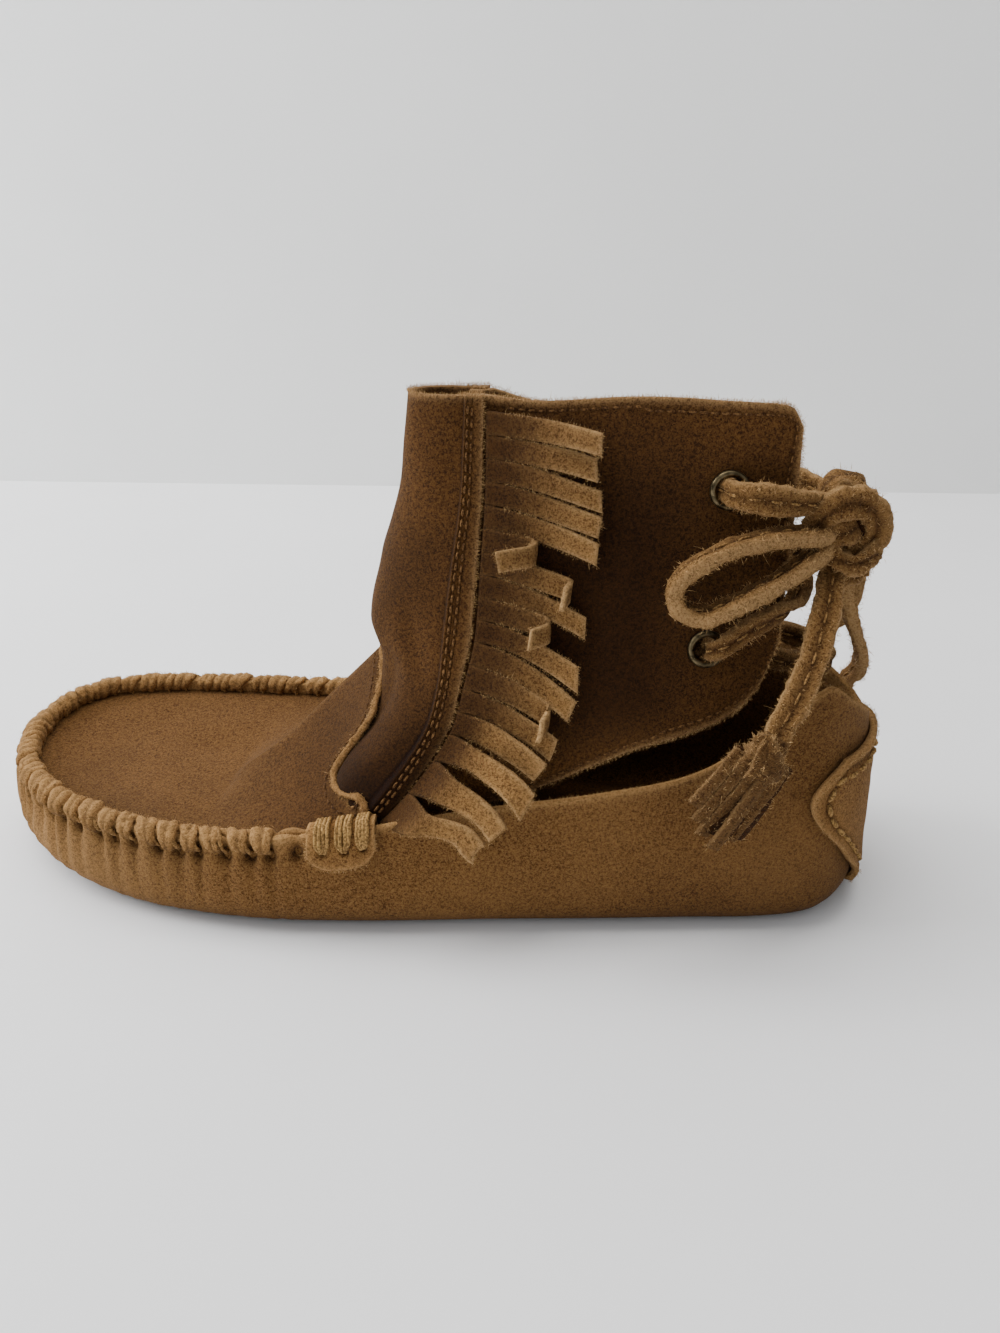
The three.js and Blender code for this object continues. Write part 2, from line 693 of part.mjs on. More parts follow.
// Fringe: strips that hang from a band caught behind the folded edge of the front panel.
// sink: how far the tip hangs below the root; stand: how far the tip stands off the quarter;
// hop: how high the strip rises near its root, to pass over the edge of the bottom;
// curl: how much of the strip's end turns back on itself.
const stripShapes = [
  { sink: 0.12, stand: 0.10, hop: 0.00, curl: 0.00 },
  { sink: 0.14, stand: 0.07, hop: 0.00, curl: 0.00 },
  { sink: 0.17, stand: 0.09, hop: 0.00, curl: 0.00 },
  { sink: 0.20, stand: 0.07, hop: 0.00, curl: 0.00 },
  { sink: 0.22, stand: 0.10, hop: 0.00, curl: 0.00 },
  { sink: 0.24, stand: 0.16, hop: 0.00, curl: 0.55 },
  { sink: 0.30, stand: 0.10, hop: 0.00, curl: 0.00 },
  { sink: 0.32, stand: 0.14, hop: 0.00, curl: 0.30 },
  { sink: 0.32, stand: 0.10, hop: 0.00, curl: 0.00 },
  { sink: 0.34, stand: 0.16, hop: 0.00, curl: 0.50 },
  { sink: 0.38, stand: 0.12, hop: 0.00, curl: 0.00 },
  { sink: 0.38, stand: 0.16, hop: 0.02, curl: 0.00 },
  { sink: 0.38, stand: 0.18, hop: 0.03, curl: 0.30 },
  { sink: 0.34, stand: 0.20, hop: 0.05, curl: 0.00 },
  { sink: 0.34, stand: 0.24, hop: 0.10, curl: 0.00 },
  { sink: 0.34, stand: 0.24, hop: 0.22, curl: 0.00 },
  { sink: 0.30, stand: 0.22, hop: 0.31, curl: 0.00 },
];
const stripSteps = [0.25, 0.5, 0.7, 0.86, 1];

// A place over the quarter: reach is the distance behind the seam, stand the height over the face
function overQuarter(side, reach, z, stand) {
  const level = shaftAt(z);
  const back = reach / (level.rear - level.seam);
  return quarterPoint(side, back, z).addScaledVector(quarterNormal(side, Math.max(back, 0.01), z), stand);
}

function stripPlace(side, index, share, z, extra) {
  const shape = stripShapes[index % stripShapes.length];
  const rolled = Math.max(share - 0.6, 0) / 0.4 * shape.curl;
  const reach = fringeLength * (share - rolled * 0.75);
  const sink = fringeLength * shape.sink * share ** 1.7 * (1 - rolled * 0.4);
  const hop = shape.hop * THREE.MathUtils.smoothstep(share, 0, 0.36);
  const lift = seamGap + chordRoom + fringeLength * (hop + shape.stand * share ** 1.5 + 0.22 * Math.sqrt(rolled));
  return overQuarter(side, reach, z - sink, lift + extra);
}

function fringeSolid(side) {
  const over = [];
  const under = [];
  const pitch = (fringeTop - fringeFoot) / fringeStrips;
  for (let i = 0; i < fringeStrips; i += 1) {
    const top = fringeTop - i * pitch;
    for (const z of [top, top - pitch + fringeSlit]) {
      const shares = [seamClear / fringeLength, fringeBand / fringeLength, ...stripSteps];
      over.push(shares.map((share) => stripPlace(side, i, share, z, fringeThickness)));
      under.push(shares.map((share) => stripPlace(side, i, share, z, 0)));
    }
  }
  return sheetSolid(over, under, (row, column) => row % 2 === 0 || column === 0);
}

addPiece('fringe_outer', fringeSolid(-1), suedeCut);
addPiece('fringe_inner', fringeSolid(1), suedeCut);

// Heel patch, laid on the outside of the bottom
function heelPatchSolid() {
  const over = [];
  const under = [];
  const rows = 7;
  const columns = 18;
  const rowsPerMillimetre = 2.1 / 24;
  for (let r = 0; r <= rows; r += 1) {
    const up = r / rows;
    const z = patchFoot + up * patchHeight;
    const reach = patchReach * readTable(patchRows, 'up', 'reach', up);
    const overRow = [];
    const underRow = [];
    for (let c = 0; c <= columns; c += 1) {
      const at = reach * (2 * c / columns - 1) * rowsPerMillimetre;
      const inset = wallInset(at, z) - seamGap - (z < bottomRadius ? turnRoom : chordRoom);
      underRow.push(besideRing(at, inset, z));
      overRow.push(besideRing(at, inset - suede, z));
    }
    over.push(overRow);
    under.push(underRow);
  }
  return sheetSolid(over, under);
}

addPiece('heel_patch', heelPatchSolid(), suedeTan);

// Lace: a flat strip of folded suede along a route of chosen points, with its width turned to wide
function laceSolid(route, wides, width = laceWidth, thickness = laceThickness) {
  const curve = new THREE.CatmullRomCurve3(route.map((p) => new THREE.Vector3(...p)), false, 'centripetal');
  const steps = Math.ceil(curve.getLength() / laceStep);
  const [w, t] = [width / 2, thickness / 2];
  const corners = [[w, t * 0.4], [w * 0.75, t], [-w * 0.75, t], [-w, t * 0.4],
    [-w, -t * 0.4], [-w * 0.75, -t], [w * 0.75, -t], [w, -t * 0.4]];
  const sections = [];
  for (let k = 0; k <= steps; k += 1) {
    const u = k / steps;
    const point = curve.getPointAt(u);
    const tangent = curve.getTangentAt(u);
    const place = u * (wides.length - 1);
    const before = Math.min(Math.floor(place), wides.length - 2);
    const wide = new THREE.Vector3(...wides[before]).lerp(new THREE.Vector3(...wides[before + 1]), place - before);
    wide.addScaledVector(tangent, -wide.dot(tangent)).normalize();
    const flat = new THREE.Vector3().crossVectors(tangent, wide);
    sections.push(corners.map(([a, b]) => point.clone().addScaledVector(wide, a).addScaledVector(flat, b)));
  }
  return sweepSolid(sections);
}

const acrossBoot = [0, 1, 0];
const upright = [0.2, 0, 1];
const lengthwise = [1, 0.1, 0.1];

// Slack bar from inside one lower eyelet to inside the other
const barRoute = [
  [79, -13.5, 75.5], [90, -10.5, 70.5], [100, -7, 67], [108, -3, 65], [112, 1, 64],
  [110, 5.5, 65.5], [102, 7, 68.5], [90, 5.5, 72], [80, 6.4, 75.5],
];
addPiece('lace_bar', laceSolid(barRoute, [upright, upright], 6, 3), suedeCut);

// Two strands that cross behind the quarters, from outside a lower eyelet to inside the upper one opposite
const crossOuter = [
  [77.5, -23.8, 79], [84, -23, 82], [90, -22, 85], [97.4, -17.6, 88], [100, -9, 90.5],
  [99.6, -2.5, 94], [97, 0.4, 99], [91, 1, 106], [83, 1.2, 112],
];
const crossInner = [
  [77.5, 17.2, 79], [84, 16.4, 82], [91, 15, 84.5], [97.8, 9.6, 86.5], [100, 1.5, 89],
  [100, -4.5, 93], [97, -7.6, 99], [91, -8.6, 106], [83, -8.8, 112],
];
const crossWides = [upright, upright, lengthwise, upright, upright];
addPiece('lace_cross', joined([laceSolid(crossOuter, crossWides, 5.5, 3), laceSolid(crossInner, crossWides, 5.5, 3)]),
  suedeCut);

// Bow: leads from the upper eyelets, a knot, two loops and two ends with tassels
function knotSolid(grow) {
  const core = new THREE.SphereGeometry(1, 14, 8);
  core.applyMatrix4(new THREE.Matrix4().makeScale(8.4 + grow, 7.5 + grow, 11.5 + grow));
  const wrap = new THREE.TorusGeometry(7.2, 3 + grow, 6, 14);
  wrap.rotateY(Math.PI / 2.6);
  wrap.scale(1, 1, 1.25);
  const knot = joined([core, wrap]);
  knot.translate(109.4, -6.4, 104);
  return knot;
}
addPiece('lace_knot', knotSolid(0), suedeCut);

// A strand that ends in another piece stops at its face
const stopAt = (strand, room) => fromManifold(toManifold(strand).subtract(toManifold(room)));
const knotRoom = knotSolid(seamGap);

const leadOuter = [[80, -17.6, 114.4], [86, -18.4, 114], [91, -17.6, 113.2], [96, -15.4, 112],
  [101, -12, 111.6], [107, -8, 110.4]];
const leadInner = [[80, 10.8, 114.4], [86, 11.2, 114], [91, 10.2, 113.2], [97, 7.4, 112],
  [102.6, 1, 110.6], [107.6, -4, 108]];
addPiece('lace_lead_outer', stopAt(laceSolid(leadOuter, [upright, upright]), knotRoom), suedeCut);
addPiece('lace_lead_inner', stopAt(laceSolid(leadInner, [upright, upright]), knotRoom), suedeCut);

const loopOuter = [
  [107, -9, 102.6], [101, -14.6, 103.8], [95, -18, 104.8], [88, -20.5, 104.6], [80, -22.5, 102.8], [73.5, -24, 99.6], [69.2, -25, 95.5],
  [68.6, -25.5, 91.5], [71.5, -26, 88.3], [76.5, -26.5, 87.8], [82, -26, 90.2], [89, -24, 93.6], [95, -21, 96.4], [100.6, -16.4, 98.8],
  [107, -9, 100.4],
];
const loopInner = [
  [110, -4, 106], [114, 3, 108], [117.4, 6.5, 103], [118.8, 8.5, 93], [119, 10.5, 84], [118.4, 12, 76], [117, 13, 71.5],
  [114.2, 13, 70.5], [112, 11.8, 75], [111.4, 9.5, 82], [111.4, 6.5, 90],
  [110, 0.5, 98],
];
addPiece('lace_loop_outer', stopAt(laceSolid(loopOuter, [acrossBoot, acrossBoot], 6.4, 3.6), knotRoom), suedeCut);
addPiece('lace_loop_inner', stopAt(laceSolid(loopInner, [acrossBoot, acrossBoot], 6.4, 3.2), knotRoom), suedeCut);

const endOuter = [
  [108.4, -8, 99], [106.4, -14, 93.5], [104.6, -20.5, 88.5], [102.6, -26, 83.5], [100, -31.5, 77], [97, -36, 71.5], [94, -39.5, 67],
  [91.4, -42.4, 62],
];
const endInner = [
  [110.4, -7.4, 97], [112, -6, 88], [115, -2, 79], [119, 3, 70], [122.6, 9, 61.5], [123.6, 14.5, 54], [122.6, 18.6, 49],
  [121.6, 22, 43],
];

// Tassel: a folded head with strips that fan out below it
function tasselSolid([head, hang, spread], grow) {
  const down = new THREE.Vector3(...hang).normalize();
  const wide = new THREE.Vector3(...spread).normalize();
  const depth = new THREE.Vector3().crossVectors(down, wide).normalize();
  const from = new THREE.Vector3(...head);
  const box = (centre, sizes, slant) => {
    const [a, b, c] = sizes.map((v) => v / 2);
    const ends = [[-a, -1], [a, 1]].map(([reach]) => {
      const middle = centre.clone().addScaledVector(down, reach).addScaledVector(wide, slant * (reach + a));
      return [[b, c], [-b, c], [-b, -c], [b, -c]]
        .map(([p, q]) => middle.clone().addScaledVector(wide, p).addScaledVector(depth, q));
    });
    return sweepSolid(ends);
  };
  const parts = [box(from, [tasselHead, tasselHead * 1.05, 6.5].map((v) => v + 2 * grow), 0)];
  if (grow > 0) return parts[0];
  for (let k = 0; k < tasselStrips; k += 1) {
    const place = k - (tasselStrips - 1) / 2;
    const long = tasselLength * (1 - 0.06 * Math.abs(place));
    const start = from.clone().addScaledVector(down, long / 2 + 2).addScaledVector(wide, place * 2.3)
      .addScaledVector(depth, (k % 2 ? 1 : -1) * 1.3);
    parts.push(box(start, [long, 3.1, 2.2], place * 0.07));
  }
  return joined(parts);
}

const outerHang = [[90, -43, 60.5], [-0.35, -0.02, -1], [1, 0.1, -0.35]];
const innerHang = [[121.4, 22.4, 41.6], [-0.1, 0.1, -1], [1, -0.75, -0.1]];
addPiece('tassel_outer', tasselSolid(outerHang, 0), suedeCut);
addPiece('tassel_inner', tasselSolid(innerHang, 0), suedeCut);

const endOuterWhole = stopAt(laceSolid(endOuter, [lengthwise, lengthwise]), knotRoom);
const endInnerWhole = stopAt(laceSolid(endInner, [acrossBoot, acrossBoot], 6, 3.2), knotRoom);
addPiece('lace_end_outer', stopAt(endOuterWhole, tasselSolid(outerHang, seamGap)), suedeCut);
addPiece('lace_end_inner', stopAt(endInnerWhole, tasselSolid(innerHang, seamGap)), suedeCut);

export default boot;
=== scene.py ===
import bmesh
import bpy
import math
import numpy as np
from mathutils import Matrix, Vector
from mathutils.bvhtree import BVHTree


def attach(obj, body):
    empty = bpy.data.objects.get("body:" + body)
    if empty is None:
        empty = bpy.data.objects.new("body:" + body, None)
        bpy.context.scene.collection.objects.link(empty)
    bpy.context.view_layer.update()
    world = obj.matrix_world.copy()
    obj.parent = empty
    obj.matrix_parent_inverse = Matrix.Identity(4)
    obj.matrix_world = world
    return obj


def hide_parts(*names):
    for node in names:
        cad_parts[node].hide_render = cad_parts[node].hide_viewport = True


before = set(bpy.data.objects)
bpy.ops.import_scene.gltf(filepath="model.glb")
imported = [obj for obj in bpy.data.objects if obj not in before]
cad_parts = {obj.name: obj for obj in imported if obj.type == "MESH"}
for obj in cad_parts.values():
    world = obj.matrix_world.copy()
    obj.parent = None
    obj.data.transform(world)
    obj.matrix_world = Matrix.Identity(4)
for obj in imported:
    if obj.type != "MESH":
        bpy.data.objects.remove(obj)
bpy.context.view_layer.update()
print("frame loaded")

mm = 0.001

# camera, at the photograph's angle: place in mm, turns in degrees, lens in pixels of the 1000 x 1333 frame
cameraSettings = {"place": (52.65, -233.26, 181.6), "pitch": 27.58, "yaw": -7.06, "roll": -1.35,
                  "lensPixels": 950, "frameHeight": 1333, "sensor": 36, "nearest": 0.01}


def addObject(name, data):
    thing = bpy.data.objects.new(name, data)
    bpy.context.scene.collection.objects.link(thing)
    return thing


def makeCamera(s):
    pitch, yaw, roll = (math.radians(s[k]) for k in ("pitch", "yaw", "roll"))
    ahead = Vector((math.sin(yaw) * math.cos(pitch), math.cos(yaw) * math.cos(pitch), -math.sin(pitch)))
    right = Vector((math.cos(yaw), -math.sin(yaw), 0))
    up = right.cross(ahead)
    right, up = right * math.cos(roll) + up * math.sin(roll), up * math.cos(roll) - right * math.sin(roll)
    data = bpy.data.cameras.new("photoCamera")
    data.sensor_fit = "VERTICAL"
    data.sensor_height = s["sensor"]
    data.lens = s["lensPixels"] / s["frameHeight"] * s["sensor"]
    data.clip_start = s["nearest"]
    camera = addObject("photoCamera", data)
    turn = Matrix((right, up, -ahead)).transposed().to_4x4()
    camera.matrix_world = Matrix.Translation(Vector(s["place"]) * mm) @ turn
    bpy.context.scene.camera = camera


makeCamera(cameraSettings)

# the boot's own sizes, in mm
boot = {"length": 256.5, "heelShare": 0.4875, "ballWidth": 93, "rimHeight": 28, "wingHeight": 70,
        "collar": 134.5, "toeSpring": 5, "bottomRadius": 9, "topLean": 6, "suede": 1.6, "floor": 2.6,
        "gap": 0.3, "fold": 1.3, "foldTurn": 0.84, "rearShift": -4, "innerSlope": 18}

# outline of the bottom from above, from the back of the heel along the outer side to the toe and back
outlineColumns = ("along", "across", "rise", "lean")
outline = np.array([
    (0.000, -0.090, 0.55, 0.35), (0.008, -0.300, 0.68, 0.45), (0.028, -0.510, 0.84, 0.70),
    (0.060, -0.665, 0.97, 0.95), (0.115, -0.745, 0.74, 0.90), (0.190, -0.790, 0.44, 0.70),
    (0.280, -0.845, 0.33, 0.50), (0.380, -0.900, 0.25, 0.45), (0.460, -0.950, 0.17, 0.45),
    (0.530, -0.990, 0.09, 0.45), (0.620, -1.020, 0.02, 0.45), (0.700, -1.000, 0.00, 0.45),
    (0.780, -0.930, 0.00, 0.50), (0.860, -0.770, 0.00, 0.55), (0.925, -0.540, 0.00, 0.60),
    (0.970, -0.260, 0.00, 0.65), (0.995, 0.060, 0.00, 0.65), (1.000, 0.360, 0.00, 0.65),
    (0.985, 0.660, 0.00, 0.65), (0.945, 0.880, 0.00, 0.60), (0.870, 0.980, 0.00, 0.55),
    (0.780, 1.000, 0.00, 0.50), (0.690, 0.990, 0.00, 0.45), (0.600, 0.950, 0.02, 0.45),
    (0.520, 0.880, 0.08, 0.45), (0.440, 0.810, 0.15, 0.45), (0.350, 0.740, 0.27, 0.45),
    (0.260, 0.685, 0.35, 0.50), (0.180, 0.635, 0.47, 0.70), (0.115, 0.575, 0.68, 1.20),
    (0.060, 0.465, 0.84, 1.60), (0.028, 0.310, 0.74, 1.05), (0.007, 0.110, 0.62, 0.55)])
ringRows = len(outline)

# level sections of the shaft, as shares of the collar height, half the length and half the ball width
shaftColumns = ("height", "nose", "seam", "rear", "seamHalf", "midHalf", "rearHalf", "belly")
shaftLevels = np.array([
    (0.234, -0.130, -0.050, 0.667, 0.705, 0.665, 0.47, 0.110),
    (0.321, -0.105, 0.046, 0.690, 0.670, 0.620, 0.42, 0.110),
    (0.409, -0.070, 0.106, 0.714, 0.590, 0.560, 0.37, 0.090),
    (0.496, -0.058, 0.132, 0.730, 0.495, 0.485, 0.32, 0.070),
    (0.565, -0.086, 0.149, 0.740, 0.400, 0.410, 0.28, 0.050),
    (0.693, -0.054, 0.160, 0.745, 0.290, 0.325, 0.23, 0.045),
    (0.818, -0.006, 0.169, 0.748, 0.190, 0.250, 0.18, 0.045),
    (0.920, 0.012, 0.172, 0.748, 0.130, 0.205, 0.15, 0.045),
    (1.000, 0.025, 0.174, 0.746, 0.105, 0.175, 0.12, 0.045)])

# free edges of a quarter from the seam to the back, as shares of the collar height
edgeColumns = ("back", "lower", "upper")
quarterEdges = np.array([
    (0.00, 0.247, 1.000), (0.15, 0.250, 0.993), (0.28, 0.266, 0.996), (0.45, 0.326, 1.003),
    (0.60, 0.374, 1.003), (0.75, 0.404, 0.998), (0.86, 0.428, 0.995), (0.93, 0.460, 0.992),
    (0.97, 0.500, 0.984), (1.00, 0.575, 0.955)])


def readTable(table, columns, column, at):
    keys, values = table[:, 0], table[:, columns.index(column)]
    slopes = np.empty(len(keys))
    slopes[1:-1] = (values[2:] - values[:-2]) / (keys[2:] - keys[:-2])
    slopes[0] = (values[1] - values[0]) / (keys[1] - keys[0])
    slopes[-1] = (values[-1] - values[-2]) / (keys[-1] - keys[-2])
    at = np.asarray(at, float)
    i = np.clip(np.searchsorted(keys, at) - 1, 0, len(keys) - 2)
    span = keys[i + 1] - keys[i]
    t = np.clip((at - keys[i]) / span, 0, 1)
    return ((2 * t**3 - 3 * t**2 + 1) * values[i] + (t**3 - 2 * t**2 + t) * span * slopes[i]
            + (3 * t**2 - 2 * t**3) * values[i + 1] + (t**3 - t**2) * span * slopes[i + 1])


def readRing(column, at):
    values = outline[:, outlineColumns.index(column)]
    at = np.asarray(at, float)
    base = np.floor(at).astype(int)
    t = at - base
    a, b, c, d = (values[(base + k) % ringRows] for k in (-1, 0, 1, 2))
    return b + 0.5 * t * (c - a + t * (2 * a - 5 * b + 4 * c - d + t * (3 * (b - c) + d - a)))


def ringPoint(at):
    x = (boot["heelShare"] - readRing("along", at)) * boot["length"]
    return np.stack([x, readRing("across", at) * boot["ballWidth"] / 2], -1)


def ringInward(at):
    tangent = ringPoint(np.asarray(at) + 0.02) - ringPoint(np.asarray(at) - 0.02)
    tangent /= np.linalg.norm(tangent, axis=-1, keepdims=True)
    return np.stack([tangent[..., 1], -tangent[..., 0]], -1)


def ringTop(at):
    return boot["rimHeight"] + readRing("rise", at) * (boot["wingHeight"] - boot["rimHeight"])


def ringLean(at):
    return readRing("lean", at) * boot["topLean"]


def ringLift(at):
    return boot["toeSpring"] * (np.maximum(readRing("along", at) - 0.76, 0) / 0.24) ** 2


def besideRing(at, inset, z):
    at, inset, z = np.broadcast_arrays(np.asarray(at, float), inset, z)
    p = ringPoint(at) + ringInward(at) * inset[..., None]
    return np.concatenate([p, z[..., None]], -1)


def wallInset(at, z):
    at, z = np.broadcast_arrays(np.asarray(at, float), np.asarray(z, float))
    r = boot["bottomRadius"]
    widest = ringLift(at) + r
    drop = np.clip((widest - z) / r, 0, 1)
    share = np.clip((z - widest) / (ringTop(at) - widest), 0, 1)
    return np.where(z < widest, r * (1 - np.sqrt(1 - drop * drop)), ringLean(at) * share**1.5)


def shaftAt(z):
    def read(name, size):
        return readTable(shaftLevels, shaftColumns, name, np.asarray(z) / boot["collar"]) * size
    half, width = boot["length"] / 2, boot["ballWidth"] / 2
    sizes = {"nose": half, "seam": half, "rear": half}
    return {name: read(name, sizes.get(name, width)) for name in shaftColumns[1:]}


def shaftMiddle(x):
    return boot["rearShift"] * np.maximum(x, 0) / (0.37 * boot["length"])


def frontPoint(side, turn, z):
    level = shaftAt(z)
    angle = np.asarray(turn) * math.pi / 2
    x = level["nose"] + (level["seam"] - level["nose"]) * (1 - np.cos(angle))
    half = level["seamHalf"] * np.sin(angle) + level["belly"] * np.sin(2 * angle)
    x, y, z = np.broadcast_arrays(x, shaftMiddle(x) + side * half, z)
    return np.stack([x, y, z], -1)


def quarterPoint(side, back, z):
    level = shaftAt(z)
    back = np.asarray(back)
    x = level["seam"] + (level["rear"] - level["seam"]) * back
    half = (level["seamHalf"] * (1 - back) * (1 - 2 * back) + level["midHalf"] * 4 * back * (1 - back)
            + level["rearHalf"] * back * (2 * back - 1))
    x, y, z = np.broadcast_arrays(x, shaftMiddle(x) + side * half, z)
    return np.stack([x, y, z], -1)


def faceNormal(face, side, a, z):
    along = face(side, a + 0.01, z) - face(side, a - 0.01, z)
    rise = face(side, a, z + 1.0) - face(side, a, z - 1.0)
    n = np.cross(along, rise)
    n /= np.linalg.norm(n, axis=-1, keepdims=True) + 1e-12
    return np.where(n[..., 1:2] * side < 0, -n, n)


def quarterEdge(side, column, back):
    z = readTable(quarterEdges, edgeColumns, column, back) * boot["collar"]
    return z - boot["innerSlope"] * np.asarray(back) if column == "upper" and side > 0 else z


noiseStride = (73, 179, 283)
noiseCells = 4096


def softNoise(points, size, seed):  # smooth noise from -1 to 1, size in mm
    p = np.asarray(points, float) / size
    base = np.floor(p).astype(int)
    t = p - base
    t = t * t * (3 - 2 * t)
    table = np.random.default_rng(seed).random(noiseCells) * 2 - 1
    total = np.zeros(p.shape[:-1])
    for corner in np.ndindex(2, 2, 2):
        cell = ((base + corner) * noiseStride).sum(-1) % noiseCells
        w = np.where(corner, t, 1 - t)
        total += table[cell] * w[..., 0] * w[..., 1] * w[..., 2]
    return total


def smoothStep(x, low, high):
    t = np.clip((np.asarray(x, float) - low) / (high - low), 0, 1)
    return t * t * (3 - 2 * t)


def unit(v):
    return v / (np.linalg.norm(v, axis=-1, keepdims=True) + 1e-12)


def bump(x, middle, width):  # a soft hill from 0 to 1
    return np.exp(-((x - middle) / width) ** 2)


def runAlong(path):  # length from the start to each point of a path
    return np.concatenate([[0], np.cumsum(np.linalg.norm(np.diff(path, axis=0), axis=1))])


def pathAt(path, run, where):
    return np.stack([np.interp(where, run, path[:, k]) for k in range(3)], -1)


# materials
def feed(tree, socket, value):
    if isinstance(value, bpy.types.NodeSocket):
        tree.links.new(value, socket)
    else:
        socket.default_value = value


def addNode(tree, kind, links=None, values=None, **settings):
    node = tree.nodes.new(kind)
    for name, value in settings.items():
        setattr(node, name, value)
    for name, value in [*(values or {}).items(), *(links or {}).items()]:
        feed(tree, node.inputs[name], value)
    return node


def blendColour(tree, factor, first, second, mode="MIX"):
    node = addNode(tree, "ShaderNodeMix", data_type="RGBA", blend_type=mode)
    for socket, value in zip((0, 6, 7), (factor, first, second)):
        feed(tree, node.inputs[socket], value)
    return node.outputs[2]


def combine(tree, operation, first, second):
    return addNode(tree, "ShaderNodeMath", {0: first, 1: second}, operation=operation).outputs[0]


def stretch(tree, value, low, high, toLow=0.0, toHigh=1.0):
    node = addNode(tree, "ShaderNodeMapRange", {"Value": value},
                   {"From Min": low, "From Max": high, "To Min": toLow, "To Max": toHigh})
    node.clamp = True
    return node.outputs[0]


def noise(tree, scale, **values):
    place = addNode(tree, "ShaderNodeTexCoord").outputs["Object"]
    return addNode(tree, "ShaderNodeTexNoise", {"Vector": place, "Scale": scale}, values).outputs[0]


# nap of suede: fine fibres in clumps, wide brushed patches, pale frayed edges with painted highlights, and painted
# shade
napInputs = {"Base": (0.2, 0.1, 0.04, 1), "Light": (0.4, 0.25, 0.1, 1), "Dark": (0.08, 0.04, 0.02, 1),
             "Edge": (0.4, 0.25, 0.1, 1), "Grain": 1200, "Patches": 24, "Contrast": 0.5, "Pale Edge And Highlight": 0, "Shade": 0}
paintedShadeTint = (0.11, 0.060, 0.018, 1)


def makeSuedeGroup():
    group = bpy.data.node_groups.new("suedeNap", "ShaderNodeTree")
    for name, value in napInputs.items():
        kind = "NodeSocketColor" if isinstance(value, tuple) else "NodeSocketFloat"
        group.interface.new_socket(name, in_out="INPUT", socket_type=kind).default_value = value
    for name, kind in (("Color", "Color"), ("Height", "Float"), ("Roughness", "Float")):
        group.interface.new_socket(name, in_out="OUTPUT", socket_type=f"NodeSocket{kind}")
    source = addNode(group, "NodeGroupInput").outputs
    fine = noise(group, source["Grain"], Detail=3, Roughness=0.65)
    wider = combine(group, "MULTIPLY", source["Grain"], 0.48)
    clump = noise(group, wider, Detail=3, Roughness=0.6, Distortion=0.6)
    patch = noise(group, source["Patches"], Detail=4, Roughness=0.55, Distortion=0.4)
    both = combine(group, "ADD", fine, clump)
    speck = stretch(group, both, 0.84, 1.22)
    nap = blendColour(group, combine(group, "MULTIPLY", speck, source["Contrast"]), source["Base"], source["Light"])
    pits = combine(group, "MULTIPLY", stretch(group, both, 0.96, 0.78), source["Contrast"])
    nap = blendColour(group, pits, nap, source["Dark"])
    nap = blendColour(group, stretch(group, patch, 0.54, 0.74, 0, 0.24), nap, source["Light"])
    nap = blendColour(group, stretch(group, patch, 0.47, 0.28, 0, 0.38), nap, source["Dark"])
    # pale frayed cut edges, and painted highlights where pieces set this mask on crests and the toe
    frayedAndHighlight = combine(group, "MULTIPLY", stretch(group, both, 0.8, 1.15, 0.35, 1.0), source["Pale Edge And Highlight"])
    nap = blendColour(group, frayedAndHighlight, nap, source["Edge"])
    # painted shade: the shade attribute darkens the nap towards this tint
    shadedNap = blendColour(group, 1.0, nap, paintedShadeTint, "MULTIPLY")
    addNode(group, "NodeGroupOutput", {"Color": blendColour(group, source["Shade"], nap, shadedNap), "Height": both,
                                       "Roughness": stretch(group, speck, 0, 1, 0.86, 1.0)})
    return group


suedeGroup = makeSuedeGroup()


def newMaterial(name):
    material = bpy.data.materials.new(name)
    material.use_nodes = True
    return material, material.node_tree, material.node_tree.nodes["Principled BSDF"]


def setShader(tree, shader, **values):  # a socket's name without its spaces, and its value or what feeds it
    for socket in shader.inputs:
        if socket.name.replace(" ", "") in values:
            feed(tree, socket, values[socket.name.replace(" ", "")])


def makeSuede(name, s):
    material, tree, shader = newMaterial(name)
    nap = addNode(tree, "ShaderNodeGroup", node_tree=suedeGroup)
    for key in ("Base", "Light", "Dark", "Edge"):
        nap.inputs[key].default_value = (*s[key], 1)
    for key in ("Grain", "Patches", "Contrast"):
        nap.inputs[key].default_value = s[key]
    for key, attribute in (("Pale Edge And Highlight", "paleEdgeAndHighlight"), ("Shade", "shade")):
        layer = addNode(tree, "ShaderNodeAttribute", attribute_name=attribute)
        tree.links.new(layer.outputs["Fac"], nap.inputs[key])
    relief = addNode(tree, "ShaderNodeBump", {"Height": nap.outputs["Height"]},
                     {"Strength": s["bump"], "Distance": 0.0006})
    setShader(tree, shader, BaseColor=nap.outputs["Color"], Roughness=nap.outputs["Roughness"],
              Normal=relief.outputs[0], SpecularIORLevel=0.12, SheenWeight=s["sheen"], SheenRoughness=0.45,
              SheenTint=(1.0, 0.78, 0.5, 1))
    return material


tanSuede = makeSuede("tanSuede", {
    "Base": (0.142, 0.061, 0.0155), "Light": (0.450, 0.244, 0.084), "Edge": (0.470, 0.270, 0.105),
    "Dark": (0.036, 0.0145, 0.0040), "Grain": 3000, "Patches": 15, "Contrast": 0.62, "bump": 0.7, "sheen": 0.03})
brownSuede = makeSuede("brownSuede", {
    "Base": (0.060, 0.0230, 0.0052), "Light": (0.220, 0.105, 0.031), "Edge": (0.420, 0.250, 0.110),
    "Dark": (0.0105, 0.0040, 0.0012), "Grain": 3000, "Patches": 15, "Contrast": 0.60, "bump": 0.6, "sheen": 0.025})
cutSuede = makeSuede("cutSuede", {
    "Base": (0.165, 0.077, 0.0215), "Light": (0.470, 0.266, 0.098), "Edge": (0.520, 0.320, 0.140),
    "Dark": (0.048, 0.020, 0.006), "Grain": 3000, "Patches": 45, "Contrast": 0.66, "bump": 0.9, "sheen": 0.03})


